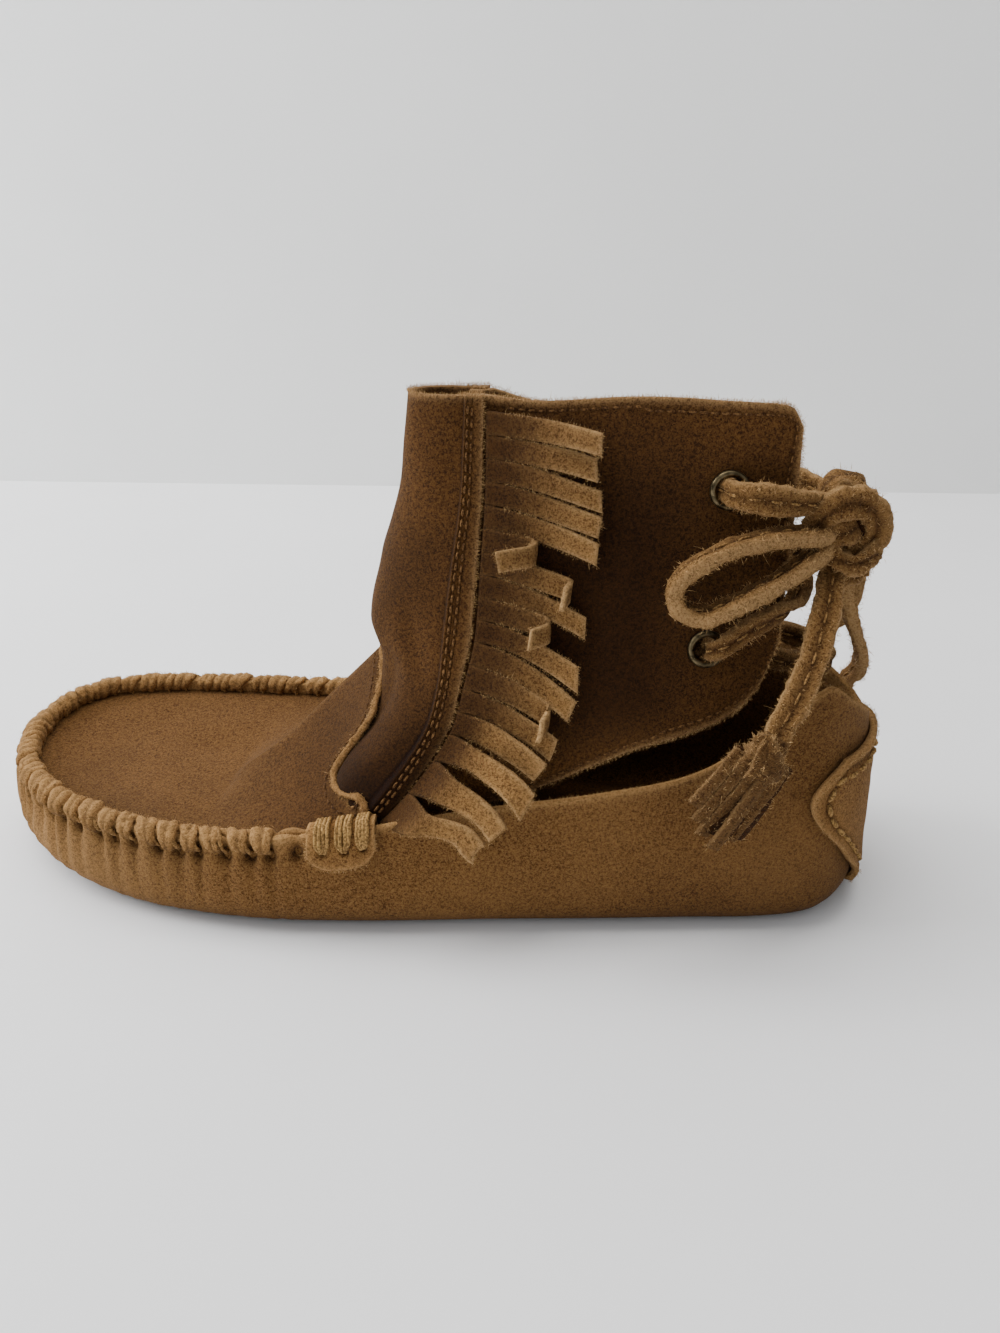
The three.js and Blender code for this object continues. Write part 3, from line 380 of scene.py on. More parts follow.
def makeThread(name, colour, dark):
    material, tree, shader = newMaterial(name)
    ply = noise(tree, 1900, Detail=2)
    relief = addNode(tree, "ShaderNodeBump", {"Height": ply}, {"Strength": 0.5, "Distance": 0.0004})
    setShader(tree, shader, BaseColor=blendColour(tree, stretch(tree, ply, 0.4, 0.62), (*dark, 1), (*colour, 1)),
              Normal=relief.outputs[0], Roughness=stretch(tree, ply, 0.3, 0.7, 0.7, 0.92), SpecularIORLevel=0.12)
    return material


yarn = makeThread("goldenYarn", (0.42, 0.25, 0.088), (0.15, 0.08, 0.026))
thread = makeThread("brownThread", (0.125, 0.060, 0.021), (0.035, 0.015, 0.005))
paleThread = makeThread("paleThread", (0.34, 0.195, 0.070), (0.13, 0.064, 0.021))
seamThread = makeThread("seamThread", (0.19, 0.096, 0.034), (0.06, 0.027, 0.009))
hairs = makeThread("looseFibres", (0.60, 0.38, 0.17), (0.30, 0.17, 0.066))


def makeBrass(stained, rubbed):
    material, tree, shader = newMaterial("agedBrass")
    stain = noise(tree, 700, Detail=4)
    setShader(tree, shader, BaseColor=blendColour(tree, stretch(tree, stain, 0.35, 0.65), stained, rubbed),
              Roughness=stretch(tree, stain, 0.3, 0.7, 0.24, 0.42), Metallic=1.0)
    return material


brass = makeBrass((0.045, 0.034, 0.018, 1), (0.17, 0.13, 0.07, 1))
print("materials made")


# meshes
def asTuples(faces):
    return [tuple(int(i) for i in face) for face in faces]


def addPiece(name, points, faces, material, replaces=(), slot="tan_suede", pale=None, shade=None):
    mesh = bpy.data.meshes.new(name)
    points = np.asarray(points, float).reshape(-1, 3) * mm
    mesh.from_pydata(points.tolist(), [], asTuples(faces))
    for attribute, values in (("paleEdgeAndHighlight", pale), ("shade", shade)):
        if values is not None:
            layer = mesh.attributes.new(attribute, "FLOAT", "POINT")
            layer.data.foreach_set("value", np.clip(np.asarray(values, float).ravel(), 0, 1).astype(np.float32))
    mesh.materials.append(material)
    mesh.validate()
    mesh.update()
    mesh.polygons.foreach_set("use_smooth", np.ones(len(mesh.polygons), bool))
    piece = addObject(name, mesh)
    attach(piece, "root")
    if replaces:
        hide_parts(*replaces)
    return piece


def cutAway(piece, points, faces, weld=0.0):  # takes a closed shape, points in mm, out of a piece
    mesh = bpy.data.meshes.new("cutter")
    mesh.from_pydata((points * mm).tolist(), [], asTuples(faces))
    cutter = addObject("cutter", mesh)
    for part in (mesh, piece.data):
        shape = bmesh.new()
        shape.from_mesh(part)
        if weld:
            bmesh.ops.remove_doubles(shape, verts=shape.verts, dist=weld)
        bmesh.ops.recalc_face_normals(shape, faces=shape.faces)
        shape.to_mesh(part)
        shape.free()
    cut = piece.modifiers.new("cut", "BOOLEAN")
    cut.object, cut.operation, cut.solver = cutter, "DIFFERENCE", "EXACT"
    trimmed = bpy.data.meshes.new_from_object(piece.evaluated_get(bpy.context.evaluated_depsgraph_get()))
    piece.modifiers.clear()
    piece.data = trimmed
    bpy.data.objects.remove(cutter)
    return trimmed


def gridFaces(rows, columns, start=0, flip=False, wrapColumns=False, wrapRows=False):
    r = np.arange(rows if wrapRows else rows - 1)
    c = np.arange(columns if wrapColumns else columns - 1)
    r, c = (v.ravel() for v in np.meshgrid(r, c, indexing="ij"))

    def at(a, b):
        return start + (a % rows) * columns + (b % columns)
    quads = np.stack([at(r, c), at(r, c + 1), at(r + 1, c + 1), at(r + 1, c)], -1)
    return quads[:, ::-1] if flip else quads


def shellFaces(rows, columns):  # over grid, then under grid, then the walls between them
    size = rows * columns
    loop = np.concatenate([np.arange(columns), np.arange(1, rows) * columns + columns - 1,
                           (rows - 1) * columns + np.arange(columns - 2, -1, -1),
                           np.arange(rows - 2, 0, -1) * columns])
    after = np.roll(loop, -1)
    walls = np.stack([after, loop, loop + size, after + size], -1)
    return np.concatenate([gridFaces(rows, columns), gridFaces(rows, columns, size, True), walls])


def borderOf(grid, sides, inset=0):  # the named sides of a grid, or the lines that lie inset places inside
    lines = {"first": grid[inset], "last": grid[-1 - inset], "left": grid[:, inset], "right": grid[:, -1 - inset]}
    return np.concatenate([lines[side] for side in sides])


def edgeDistance(grid, sides):  # mm from each point of a grid to its nearest named side
    along = np.linalg.norm(np.diff(grid, axis=0), axis=-1)
    across = np.linalg.norm(np.diff(grid, axis=1), axis=-1)
    zeroRow, zeroColumn = np.zeros((1, grid.shape[1])), np.zeros((grid.shape[0], 1))
    down = np.concatenate([zeroRow, np.cumsum(along, 0)])
    right = np.concatenate([zeroColumn, np.cumsum(across, 1)], 1)
    far = np.full(grid.shape[:2], 1e3)
    for side, distance in (("first", down), ("last", down[-1:] - down),
                           ("left", right), ("right", right[:, -1:] - right)):
        if side in sides:
            far = np.minimum(far, distance)
    return far


def smoothPath(points, step):  # centripetal curve through the points, at even steps
    p = [np.asarray(v, float) for v in points]
    ends = [2 * p[0] - p[1]] + p + [2 * p[-1] - p[-2]]
    dense = []
    for a, b, c, d in zip(ends, ends[1:], ends[2:], ends[3:]):
        knots = [0.0]
        for u, v in ((a, b), (b, c), (c, d)):
            knots.append(knots[-1] + max(np.linalg.norm(v - u), 1e-6) ** 0.5)
        for t in np.linspace(knots[1], knots[2], 24, endpoint=False):
            k0, k1, k2, k3 = knots
            a1 = (k1 - t) / (k1 - k0) * a + (t - k0) / (k1 - k0) * b
            a2 = (k2 - t) / (k2 - k1) * b + (t - k1) / (k2 - k1) * c
            a3 = (k3 - t) / (k3 - k2) * c + (t - k2) / (k3 - k2) * d
            b1 = (k2 - t) / (k2 - k0) * a1 + (t - k0) / (k2 - k0) * a2
            b2 = (k3 - t) / (k3 - k1) * a2 + (t - k1) / (k3 - k1) * a3
            dense.append((k2 - t) / (k2 - k1) * b1 + (t - k1) / (k2 - k1) * b2)
    dense = np.array(dense + [p[-1]])
    run = runAlong(dense)
    return pathAt(dense, run, np.linspace(0, run[-1], max(int(run[-1] / step), 2) + 1))


def spread(values, count):  # one value or a short list, stretched over a number of places
    values = np.atleast_1d(np.asarray(values, float))
    at = np.linspace(0, len(values) - 1, count)
    if values.ndim == 1:
        return np.interp(at, np.arange(len(values)), values)
    return np.stack([np.interp(at, np.arange(len(values)), column) for column in values.T], -1)


def tubeMesh(path, wides, width, thick, sides=20, groove=0.0, square=0.55, rough=0.0, seed=1):
    n = len(path)
    tangent = unit(np.gradient(path, axis=0))
    wide = spread(wides, n)
    wide = unit(wide - tangent * (wide * tangent).sum(-1, keepdims=True))
    flat = np.cross(tangent, wide)
    width, thick = spread(width, n)[:, None], spread(thick, n)[:, None]
    angle = np.linspace(0, 2 * math.pi, sides, endpoint=False)
    a = np.sign(np.cos(angle)) * np.abs(np.cos(angle)) ** square
    b = np.sign(np.sin(angle)) * np.abs(np.sin(angle)) ** square
    dip = 1 - groove * bump(a, 0, 0.16)
    points = (path[:, None] + wide[:, None] * (a * width / 2)[..., None]
              + flat[:, None] * (b * dip * thick / 2)[..., None])
    if rough:
        out = unit(points - path[:, None])
        uneven = softNoise(points, 1.4, seed) * rough + softNoise(points, 5, seed + 1) * rough
        points = points + out * uneven[..., None]
    caps = [tuple(range(sides))[::-1], tuple((n - 1) * sides + k for k in range(sides))]
    faces = asTuples(gridFaces(n, sides, 0, False, True)) + caps
    edge = np.abs(a) ** 6 * 0.9 * np.ones((n, 1))
    shade = bump(a, 0, 0.14) * (0.55 if groove else 0) * np.ones((n, 1))
    return points.reshape(-1, 3), faces, edge.ravel(), shade.ravel()


def gather(parts):  # several small meshes as one
    points, faces, pale, shade, start = [], [], [], [], 0
    for p, f, e, s in parts:
        p = np.asarray(p).reshape(-1, 3)
        points.append(p)
        faces.extend(tuple(int(i) + start for i in face) for face in f)
        pale.append(np.broadcast_to(e, len(p)))
        shade.append(np.broadcast_to(s, len(p)))
        start += len(p)
    return np.concatenate(points), faces, np.concatenate(pale), np.concatenate(shade)


def fibres(name, roots, outward, count, length, width=0.09, seed=5, spreadOut=0.8):
    rng = np.random.default_rng(seed)
    roots, outward = np.asarray(roots, float).reshape(-1, 3), np.asarray(outward, float).reshape(-1, 3)
    pick = rng.integers(0, len(roots), count)
    base = roots[pick] + rng.normal(0, 0.22, (count, 3))
    lean = unit(unit(outward[pick]) + rng.normal(0, spreadOut, (count, 3)) * 0.7)
    bend = rng.normal(0, 0.35, (count, 3))
    size = length * rng.uniform(0.35, 1.0, count)[:, None] * (1 + 1.2 * (rng.random(count) > 0.96))[:, None]
    side = unit(np.cross(lean, rng.normal(0, 1, (count, 3)))) * width / 2
    middle = base + lean * size * 0.5 + bend * size * 0.15
    tip = base + lean * size * 0.92 + bend * size * 0.5
    points = np.stack([base - side, base + side, middle - side * 0.8, middle + side * 0.8, tip], 1)
    n = np.arange(count)[:, None] * 5
    addPiece(name, points, [*(n + [[0, 1, 3, 2]]), *(n + [[2, 3, 4]])], hairs, slot="cut_suede")


def borderFibres(name, grid, sides, inset, count, length, seed):
    edge = borderOf(grid, sides)
    fibres(name, edge, edge - borderOf(grid, sides, inset), count, length, 0.09, seed)


def stitchRow(path, normals, pitch, length, radius, lift, sides=6):
    run, share = runAlong(path), np.linspace(-0.5, 0.5, 5)
    parts = []
    for at in np.arange(pitch / 2, run[-1] - pitch / 2, pitch):
        middle = pathAt(path, run, at + share * length)
        up = unit(pathAt(normals, run, at + share * length))
        middle = middle + up * (lift + radius * (1 - (2 * share) ** 2)[:, None] * 0.8 - radius * 0.6)
        taper = radius * 2 * (1 - 0.5 * (2 * share) ** 4)
        parts.append(tubeMesh(middle, [up[2]], taper, taper, sides, 0, 1.0))
    return parts


print("mesh tools ready")

# laces: folded suede strips; routes in mm, from the eyelets through the knot
acrossBoot, upright, lengthwise = (0, 1, 0), (0.2, 0, 1), (1, 0.1, 0.1)
laceSides = 20
laceDash = {"pitch": 5.2, "length": 3.0, "onFace": 0.80, "lift": 0.05}
laces = {
    "outer": {
        "route": [(76, -6, 114.2), (79.6, -13.5, 114.2), (82.5, -17.6, 114.2), (87, -18.5, 114), (92, -17.4, 113.2),
                  (97, -14.8, 112), (102, -11.6, 111), (107, -8, 109.4), (110.5, -6, 106), (107.5, -8.4, 103.4),
                  (101.5, -14, 103.9), (95, -18, 104.8), (88, -20.5, 104.6), (80, -22.5, 102.8), (73.5, -24, 99.6),
                  (69.2, -25, 95.5), (68.6, -25.5, 91.5), (71.5, -26, 88.3), (76.5, -26.5, 87.8), (82, -26, 90.2),
                  (89, -24, 93.6), (95, -21, 96.4), (101, -16, 98.9), (106, -10.5, 100.4), (109, -8, 100),
                  (108.2, -9.4, 97), (106.4, -14, 93.5), (104.6, -20.5, 88.5), (102.6, -26, 83.5),
                  (100, -31.5, 77), (97, -36, 71.5), (94, -39.5, 67), (91.6, -42.2, 63)],
        "wides": [upright] * 8 + [(0, 0.7, 0.7)] + [acrossBoot] * 15 + [(0.7, 0.7, 0)] + [lengthwise] * 8,
        "width": [4.6, 4.8, 6.4, 7.2, 6.6, 5.6, 5, 4.6, 5] + [6.2] * 15 + [5] + [6.2, 6.8, 7, 7, 7, 7, 7, 6],
        "thick": [3.4] * 9 + [4.2] * 15 + [3.4] * 9,
        "exit": (80.3, -13.5, 114.3)},
    "inner": {
        "route": [(76.5, 1, 114.2), (79.4, 6.6, 114.2), (82.5, 10.6, 114.2), (87, 11.2, 114), (92, 10.1, 113.2),
                  (97, 7.4, 112), (102.6, 1.2, 110.8), (107.6, -4, 108.6), (110.6, -5, 106.4), (114, 2.6, 108),
                  (117.4, 6.5, 103), (118.8, 8.5, 93), (119, 10.5, 84), (118.4, 12, 76), (117, 13, 71.5),
                  (114.2, 13, 70.5), (112, 11.8, 75), (111.4, 9.5, 82), (111.4, 6.8, 90), (110, 0.8, 98),
                  (109.4, -5, 101), (110.2, -7.2, 97.4), (112, -6, 88), (115, -2, 79), (119, 3, 70),
                  (122.6, 9, 61.5), (123.6, 14.5, 54), (122.6, 18.6, 49), (121.8, 21.2, 45)],
        "wides": [upright] * 8 + [acrossBoot] * 21,
        "width": [4.6, 4.8, 6.4, 7.2, 6.6, 5.6, 5, 4.8, 5] + [6.2] * 11 + [5.4] * 9,
        "thick": [3.4] * 29,
        "exit": (80.3, 6.7, 114.3)}}


def dashesAlong(path, wides, thick, radius):  # a seam along the middle of both faces of a folded strip
    tangent = unit(np.gradient(path, axis=0))
    wide = spread(wides, len(path))
    flat = np.cross(tangent, unit(wide - tangent * (wide * tangent).sum(-1, keepdims=True)))
    parts = []
    for side in (-1, 1):
        face = path + flat * side * (spread(thick, len(path)) / 2 * laceDash["onFace"])[:, None]
        parts += stitchRow(face, flat * side, laceDash["pitch"], laceDash["length"], radius, laceDash["lift"])
    return parts


def fromRings(points):  # how each point of a strip stands out from the middle of its ring
    rings = points.reshape(-1, laceSides, 3)
    return (rings - rings.mean(1, keepdims=True)).reshape(-1, 3)


cordPieces = {}
fibreRoots, fibreOuts = [], []
for side, s in laces.items():
    path = smoothPath(s["route"], 0.8)
    points, faces, pale, shade = tubeMesh(path, s["wides"], s["width"], s["thick"], laceSides, 0.3, 0.5, 0.38, 11)
    nodes = [f"lace_lead_{side}", f"lace_loop_{side}", f"lace_end_{side}"]
    piece = addPiece(f"lace_{side}_strip", points, faces, cutSuede, nodes, "cut_suede", pale, shade + 0.17)
    length = float(np.linalg.norm(np.diff(path, axis=0), axis=1).sum())
    cordPieces[side] = {"piece": piece, "path": path, "length": length, "exit": s["exit"]}
    dashes = gather(dashesAlong(path[6:], s["wides"], s["thick"], 0.32))
    addPiece(f"lace_{side}_dashes", *dashes[:2], paleThread, slot="cut_suede")
    fibreRoots.append(points)
    fibreOuts.append(fromRings(points))
print("laces made")


# tassels: the strip's end is folded over itself and cut into a fan of strips
tassel = {"width": 9.6, "height": 11, "depth": 5.2, "strip": 3.3, "spacing": 3.0, "fan": 0.013, "shade": 0.62,
          "layers": (0.5, -1.3), "backShade": 0.97,
          "outer": {"head": (90, -43, 60.5), "hang": (-0.52, -0.02, -1), "wide": (1, 0.1, -0.45),
                    "reaches": (18.5, 22, 25.5, 26.5, 24), "seed": 40},
          "inner": {"head": (121.4, 22.4, 41.6), "hang": (-0.1, 0.1, -1), "wide": (1, -0.75, -0.1),
                    "reaches": (21, 24, 25.5, 25, 23), "seed": 41}}
# the fold over a tassel's head: shares of its width and height, and mm in front of it
tasselFlaps = [
    {"facing": "hang", "width": [4.2, 5.6, 6.0, 5.2, 4.2], "thick": 1.7, "sides": 16, "rough": 0.4,
     "route": [(-0.42, -0.50, 1.6), (-0.16, -0.20, 3.3), (0.10, -0.02, 3.7), (0.42, 0.10, 3.0), (0.55, 0.12, 0.6)]},
    {"facing": "wide", "width": [2.6, 3.0, 2.4, 1.6], "thick": 1.5, "sides": 14, "rough": 0.35,
     "route": [(-0.30, -0.46, 2.6), (-0.26, -0.10, 3.6), (-0.20, 0.26, 3.6), (-0.16, 0.46, 2.8)]}]


def tasselParts(s, own):
    seed, rng = own["seed"], np.random.default_rng(own["seed"])
    down, wide = unit(np.array(own["hang"], float)), unit(np.array(own["wide"], float))
    wide = unit(wide - down * (wide @ down))
    depth = np.cross(down, wide)
    depth = depth if depth[1] < 0 else -depth
    head = np.array(own["head"], float)
    run = np.linspace(0, s["height"], 20)[:, None]
    share = run[:, 0] / s["height"]
    width, thick = s["width"] * (0.72 + 0.42 * share), s["depth"] * (0.55 + 0.45 * np.sin(share * 2.6))
    parts = [tubeMesh(head - down * s["height"] / 2 + down * run, [wide], width, thick, 24, 0, 0.45, 0.45, seed)]
    for k, f in enumerate(tasselFlaps):
        route = [head + wide * a * s["width"] + down * b * s["height"] + depth * c for a, b, c in f["route"]]
        facing = down if f["facing"] == "hang" else wide
        parts.append(tubeMesh(smoothPath(route, 0.5), [facing], f["width"], f["thick"], f["sides"], 0, 0.4,
                              f["rough"], seed + 3 + k))
    share = np.linspace(0, 1, 22)
    for layer, back in enumerate(s["layers"]):
        for k, reach in enumerate(own["reaches"]):
            place = k - 2 + 0.45 * layer
            length = reach * (1 - 0.05 * layer + rng.uniform(-0.02, 0.02))
            sway = 1.2 * np.sin(share * 2.4 + rng.uniform(0, 3)) * share + back * (1 - 0.5 * share) + 0.35 * (k % 2)
            middle = (head + down * (1.0 + length * share)[:, None]
                      + wide * (place * s["spacing"] + place * s["fan"] * length * share)[:, None]
                      + depth * sway[:, None])
            points, faces, pale, shade = tubeMesh(middle, [wide + depth * rng.uniform(-0.22, 0.22)],
                                                  s["strip"] * (0.86 + 0.14 * share), 1.5, 12, 0, 0.3, 0.18,
                                                  seed + 9 + k)
            parts.append((points, faces, pale, shade + (s["backShade"] if layer else 0.4 + rng.uniform(0, 0.2))))
    return parts


tasselPieces = {}
for side in ("outer", "inner"):
    points, faces, pale, shade = gather(tasselParts(tassel, tassel[side]))
    tasselPieces[side] = addPiece(f"tassel_{side}_leather", points, faces, cutSuede, [f"tassel_{side}"], "cut_suede",
                                  pale, np.maximum(shade, tassel["shade"]))
    fibreRoots.append(points)
    fibreOuts.append(points - points.mean(0))

# knot: turns of the same strip over and under each other
knot = {"middle": (109.4, -6.4, 104), "size": (6.6, 5.8, 9.6), "rows": 12, "sides": 28, "turns": [
    {"route": [(101.6, -11.5, 104.6), (102.6, -13.4, 108.6), (106.4, -13.8, 111.6), (111.4, -12.6, 111),
               (114.8, -11, 107.4), (115.4, -10.2, 102.6), (113, -10.6, 98.6), (108.6, -11.6, 97.2)],
     "wide": None, "width": 7.6, "thick": 3.8},
    {"route": [(103.4, -6, 111.4), (108, -2.4, 113.8), (113, -1, 111.4), (115.6, -0.6, 105), (113.8, -1.2, 98.6),
               (109, -2.6, 95.6), (105, -6, 97)], "wide": (0.1, 1, 0), "width": 7.4, "thick": 3.2},
    {"route": [(103.6, -11, 99.6), (106.2, -14.6, 98.4), (110.4, -15, 97.4), (114, -12.8, 98), (116.2, -9, 100.4),
               (116.4, -4, 102)], "wide": (0, 0.3, 1), "width": 4.8, "thick": 3.2},
    {"route": [(104.8, -10.6, 95.4), (107.6, -13.6, 94), (111.4, -13.4, 93.4), (114.4, -10.6, 94.6), (115.6, -6, 97),
               (113.4, -1.6, 99)], "wide": (0, 0.3, 1), "width": 4.6, "thick": 3.0},
    {"route": [(102.4, -12.2, 101.8), (104.8, -13.4, 103.8), (108.4, -12.2, 104.6), (112, -7.6, 104)],
     "wide": (-0.5, 0, 0.8), "width": 5.6, "thick": 3.4}]}


def knotParts(s):
    rows, sides = s["rows"], s["sides"]
    reach = 0.5 * math.pi - 0.15
    turn, rise = np.linspace(0, 2 * math.pi, sides, endpoint=False), np.linspace(-reach, reach, rows)
    body = np.stack([np.outer(np.cos(rise), np.cos(turn)) * s["size"][0],
                     np.outer(np.cos(rise), np.sin(turn)) * s["size"][1],
                     np.sin(rise)[:, None] * s["size"][2] * np.ones(sides)], -1) + np.array(s["middle"])
    caps = [tuple(range(sides))[::-1], tuple((rows - 1) * sides + k for k in range(sides))]
    # a dark filler body inside the turns: painted shade inside the knot
    parts = [(body, asTuples(gridFaces(rows, sides, 0, False, True)) + caps, 0.0, 0.75)]
    for k, t in enumerate(s["turns"]):
        path = smoothPath(t["route"], 0.7)
        ends = np.minimum(1, np.minimum(np.arange(len(path)) + 2, np.arange(len(path))[::-1] + 2) / 5)
        wides = [t["wide"]] if t["wide"] else (path - np.array(s["middle"])) * [1, 0, 1]
        parts.append(tubeMesh(path, wides, t["width"] * (0.6 + 0.4 * ends), t["thick"] * (0.6 + 0.4 * ends),
                              laceSides, 0.3, 0.7, 0.9, 60 + k))
    return parts


points, faces, pale, shade = gather(knotParts(knot))
knotPiece = addPiece("bow_knot", points, faces, cutSuede, ["lace_knot"], "cut_suede", pale, shade + 0.26)
turns = points[knot["rows"] * knot["sides"]:]
fibreRoots.append(turns)
fibreOuts.append(turns - np.array(knot["middle"]))

for side, c in cordPieces.items():
    extra = [tasselPieces[side]] + ([knotPiece] if side == "outer" else [])
print("bow made")

# crossing strands and the slack bar behind the quarters
bars = {
    "lace_bar": {"width": 6, "thick": 3, "wides": [upright, upright], "routes": [
        [(77, -17.3, 74.5), (78, -15.2, 72.6), (81.4, -12.6, 71.6), (90, -10.5, 70.5), (100, -7, 67), (108, -3, 65),
         (112, 1, 64), (110, 5.5, 65.5), (102, 7, 68.5), (90, 5.5, 70.5), (81.4, 6.4, 71.8), (78, 8.8, 72.8),
         (77, 10.8, 74.5)]]},
    "lace_cross": {
        "width": [3.8, 4.2, 5.2] + [5.8] * 9, "thick": 3, "wides": [upright, upright, lengthwise, upright, upright],
        "routes": [
            [(78.2, -14, 74.6), (78.6, -20.4, 75.6), (81, -23.4, 78.4), (85, -23.2, 81.8), (90, -22, 85),
             (97.4, -17.6, 88), (100, -9, 90.5), (99.6, -2.5, 94), (97, 0.4, 99), (91, 1, 106), (83, 1.2, 112),
             (80.5, 4, 114)],
            [(78.2, 8, 74.6), (78.6, 13.8, 75.6), (81, 16.8, 78.4), (85, 16.4, 81.8), (91, 15, 84.5),
             (97.8, 9.6, 86.5), (100, 1.5, 89), (100, -4.5, 93), (97, -7.6, 99), (91, -8.6, 106), (83, -8.8, 112),
             (80.5, -11, 114)]]}}
for node, s in bars.items():
    parts, dashes = [], []
    for k, route in enumerate(s["routes"]):
        path = smoothPath(route, 0.9)
        parts.append(tubeMesh(path, s["wides"], s["width"], s["thick"], laceSides, 0.3, 0.5, 0.28, 80 + k))
        dashes += dashesAlong(path, s["wides"], s["thick"], 0.3)
    points, faces, pale, shade = gather(parts)
    addPiece(f"{node}_strip", points, faces, cutSuede, [node], "cut_suede", pale, shade + 0.38)
    addPiece(f"{node}_dashes", *gather(dashes)[:2], paleThread, slot="cut_suede")
    fibreRoots.append(points)
    fibreOuts.append(fromRings(points))
fibres("lace_fibres", np.concatenate(fibreRoots), np.concatenate(fibreOuts), 27000, 1.45, 0.11, 7, 1.5)
print("laces finished")

# one-piece bottom, gathered into the whip-stitched seam round the toes
bottom = {"step": 0.8, "seamFrom": 9.5, "pitch": 6.7, "lobe": 2.1, "lobeFade": 6.0, "pit": 3.2, "pitDepth": 4.3,
          "folds": 2.1, "foldFade": 12, "slack": 1.2, "rimLobe": 1.4}


def ringSamples(step):  # places round the outline at even steps, and their run in mm
    at = np.linspace(0, ringRows, 6000)
    run = runAlong(ringPoint(at))
    where = np.linspace(0, run[-1], int(run[-1] / step), endpoint=False)
    return np.interp(where, run, at), where


seamRun = ringSamples(0.5)
pitchRandom = np.random.default_rng(3)
lobeSize = pitchRandom.uniform(0.65, 1.25, 200)
foldReach = pitchRandom.uniform(0.5, 1.6, 200)


def seamPhase(at):  # counts the holes of the seam, which stand a little unevenly
    phase = np.interp(at, *seamRun) / bottom["pitch"]
    return phase + 0.10 * np.sin(phase * 1.9) + 0.06 * np.sin(phase * 4.3)


def seamMask(at):
    low, high = bottom["seamFrom"], ringRows - bottom["seamFrom"]
    return smoothStep(at, low - 0.12, low + 0.2) * (1 - smoothStep(at, high - 0.2, high + 0.12))


def gathers(at, depth):  # outward puckers under the seam, and the painted shade in their pits and between the lobes
    phase = seamPhase(at)
    near = np.abs(phase - np.round(phase))
    lobe = np.abs(np.sin(math.pi * phase)) ** 0.6
    size = lobeSize[np.floor(phase).astype(int) % len(lobeSize)]
    toe = 1 + 0.45 * smoothStep(readRing("along", at), 0.84, 0.98)
    mask = seamMask(at)
    out = (lobe - 0.6) * bottom["lobe"] * size * toe * np.exp(-np.maximum(depth - 2, 0) / bottom["lobeFade"])
    reach = bottom["foldFade"] * foldReach[np.round(phase).astype(int) % len(foldReach)]
    fold = np.cos(2 * math.pi * phase * 0.5) * 0.35 + np.cos(2 * math.pi * phase) * 0.65
    out = out - fold * bottom["folds"] * 0.42 * toe * np.exp(-depth / reach) * smoothStep(depth, 1.5, 5)
    hole = bump(depth, bottom["pitDepth"], 1.6) * bump(near, 0, 0.19)
    out = out - bottom["pit"] * hole
    # painted shade in the seam's holes and in the folds between the lobes
    dark = np.clip(1.9 * hole + 0.4 * (1 - lobe) * np.exp(-np.maximum(depth - 3, 0) / 4) * (depth > 1), 0, 1)
    return out * mask, dark * mask, lobe, mask


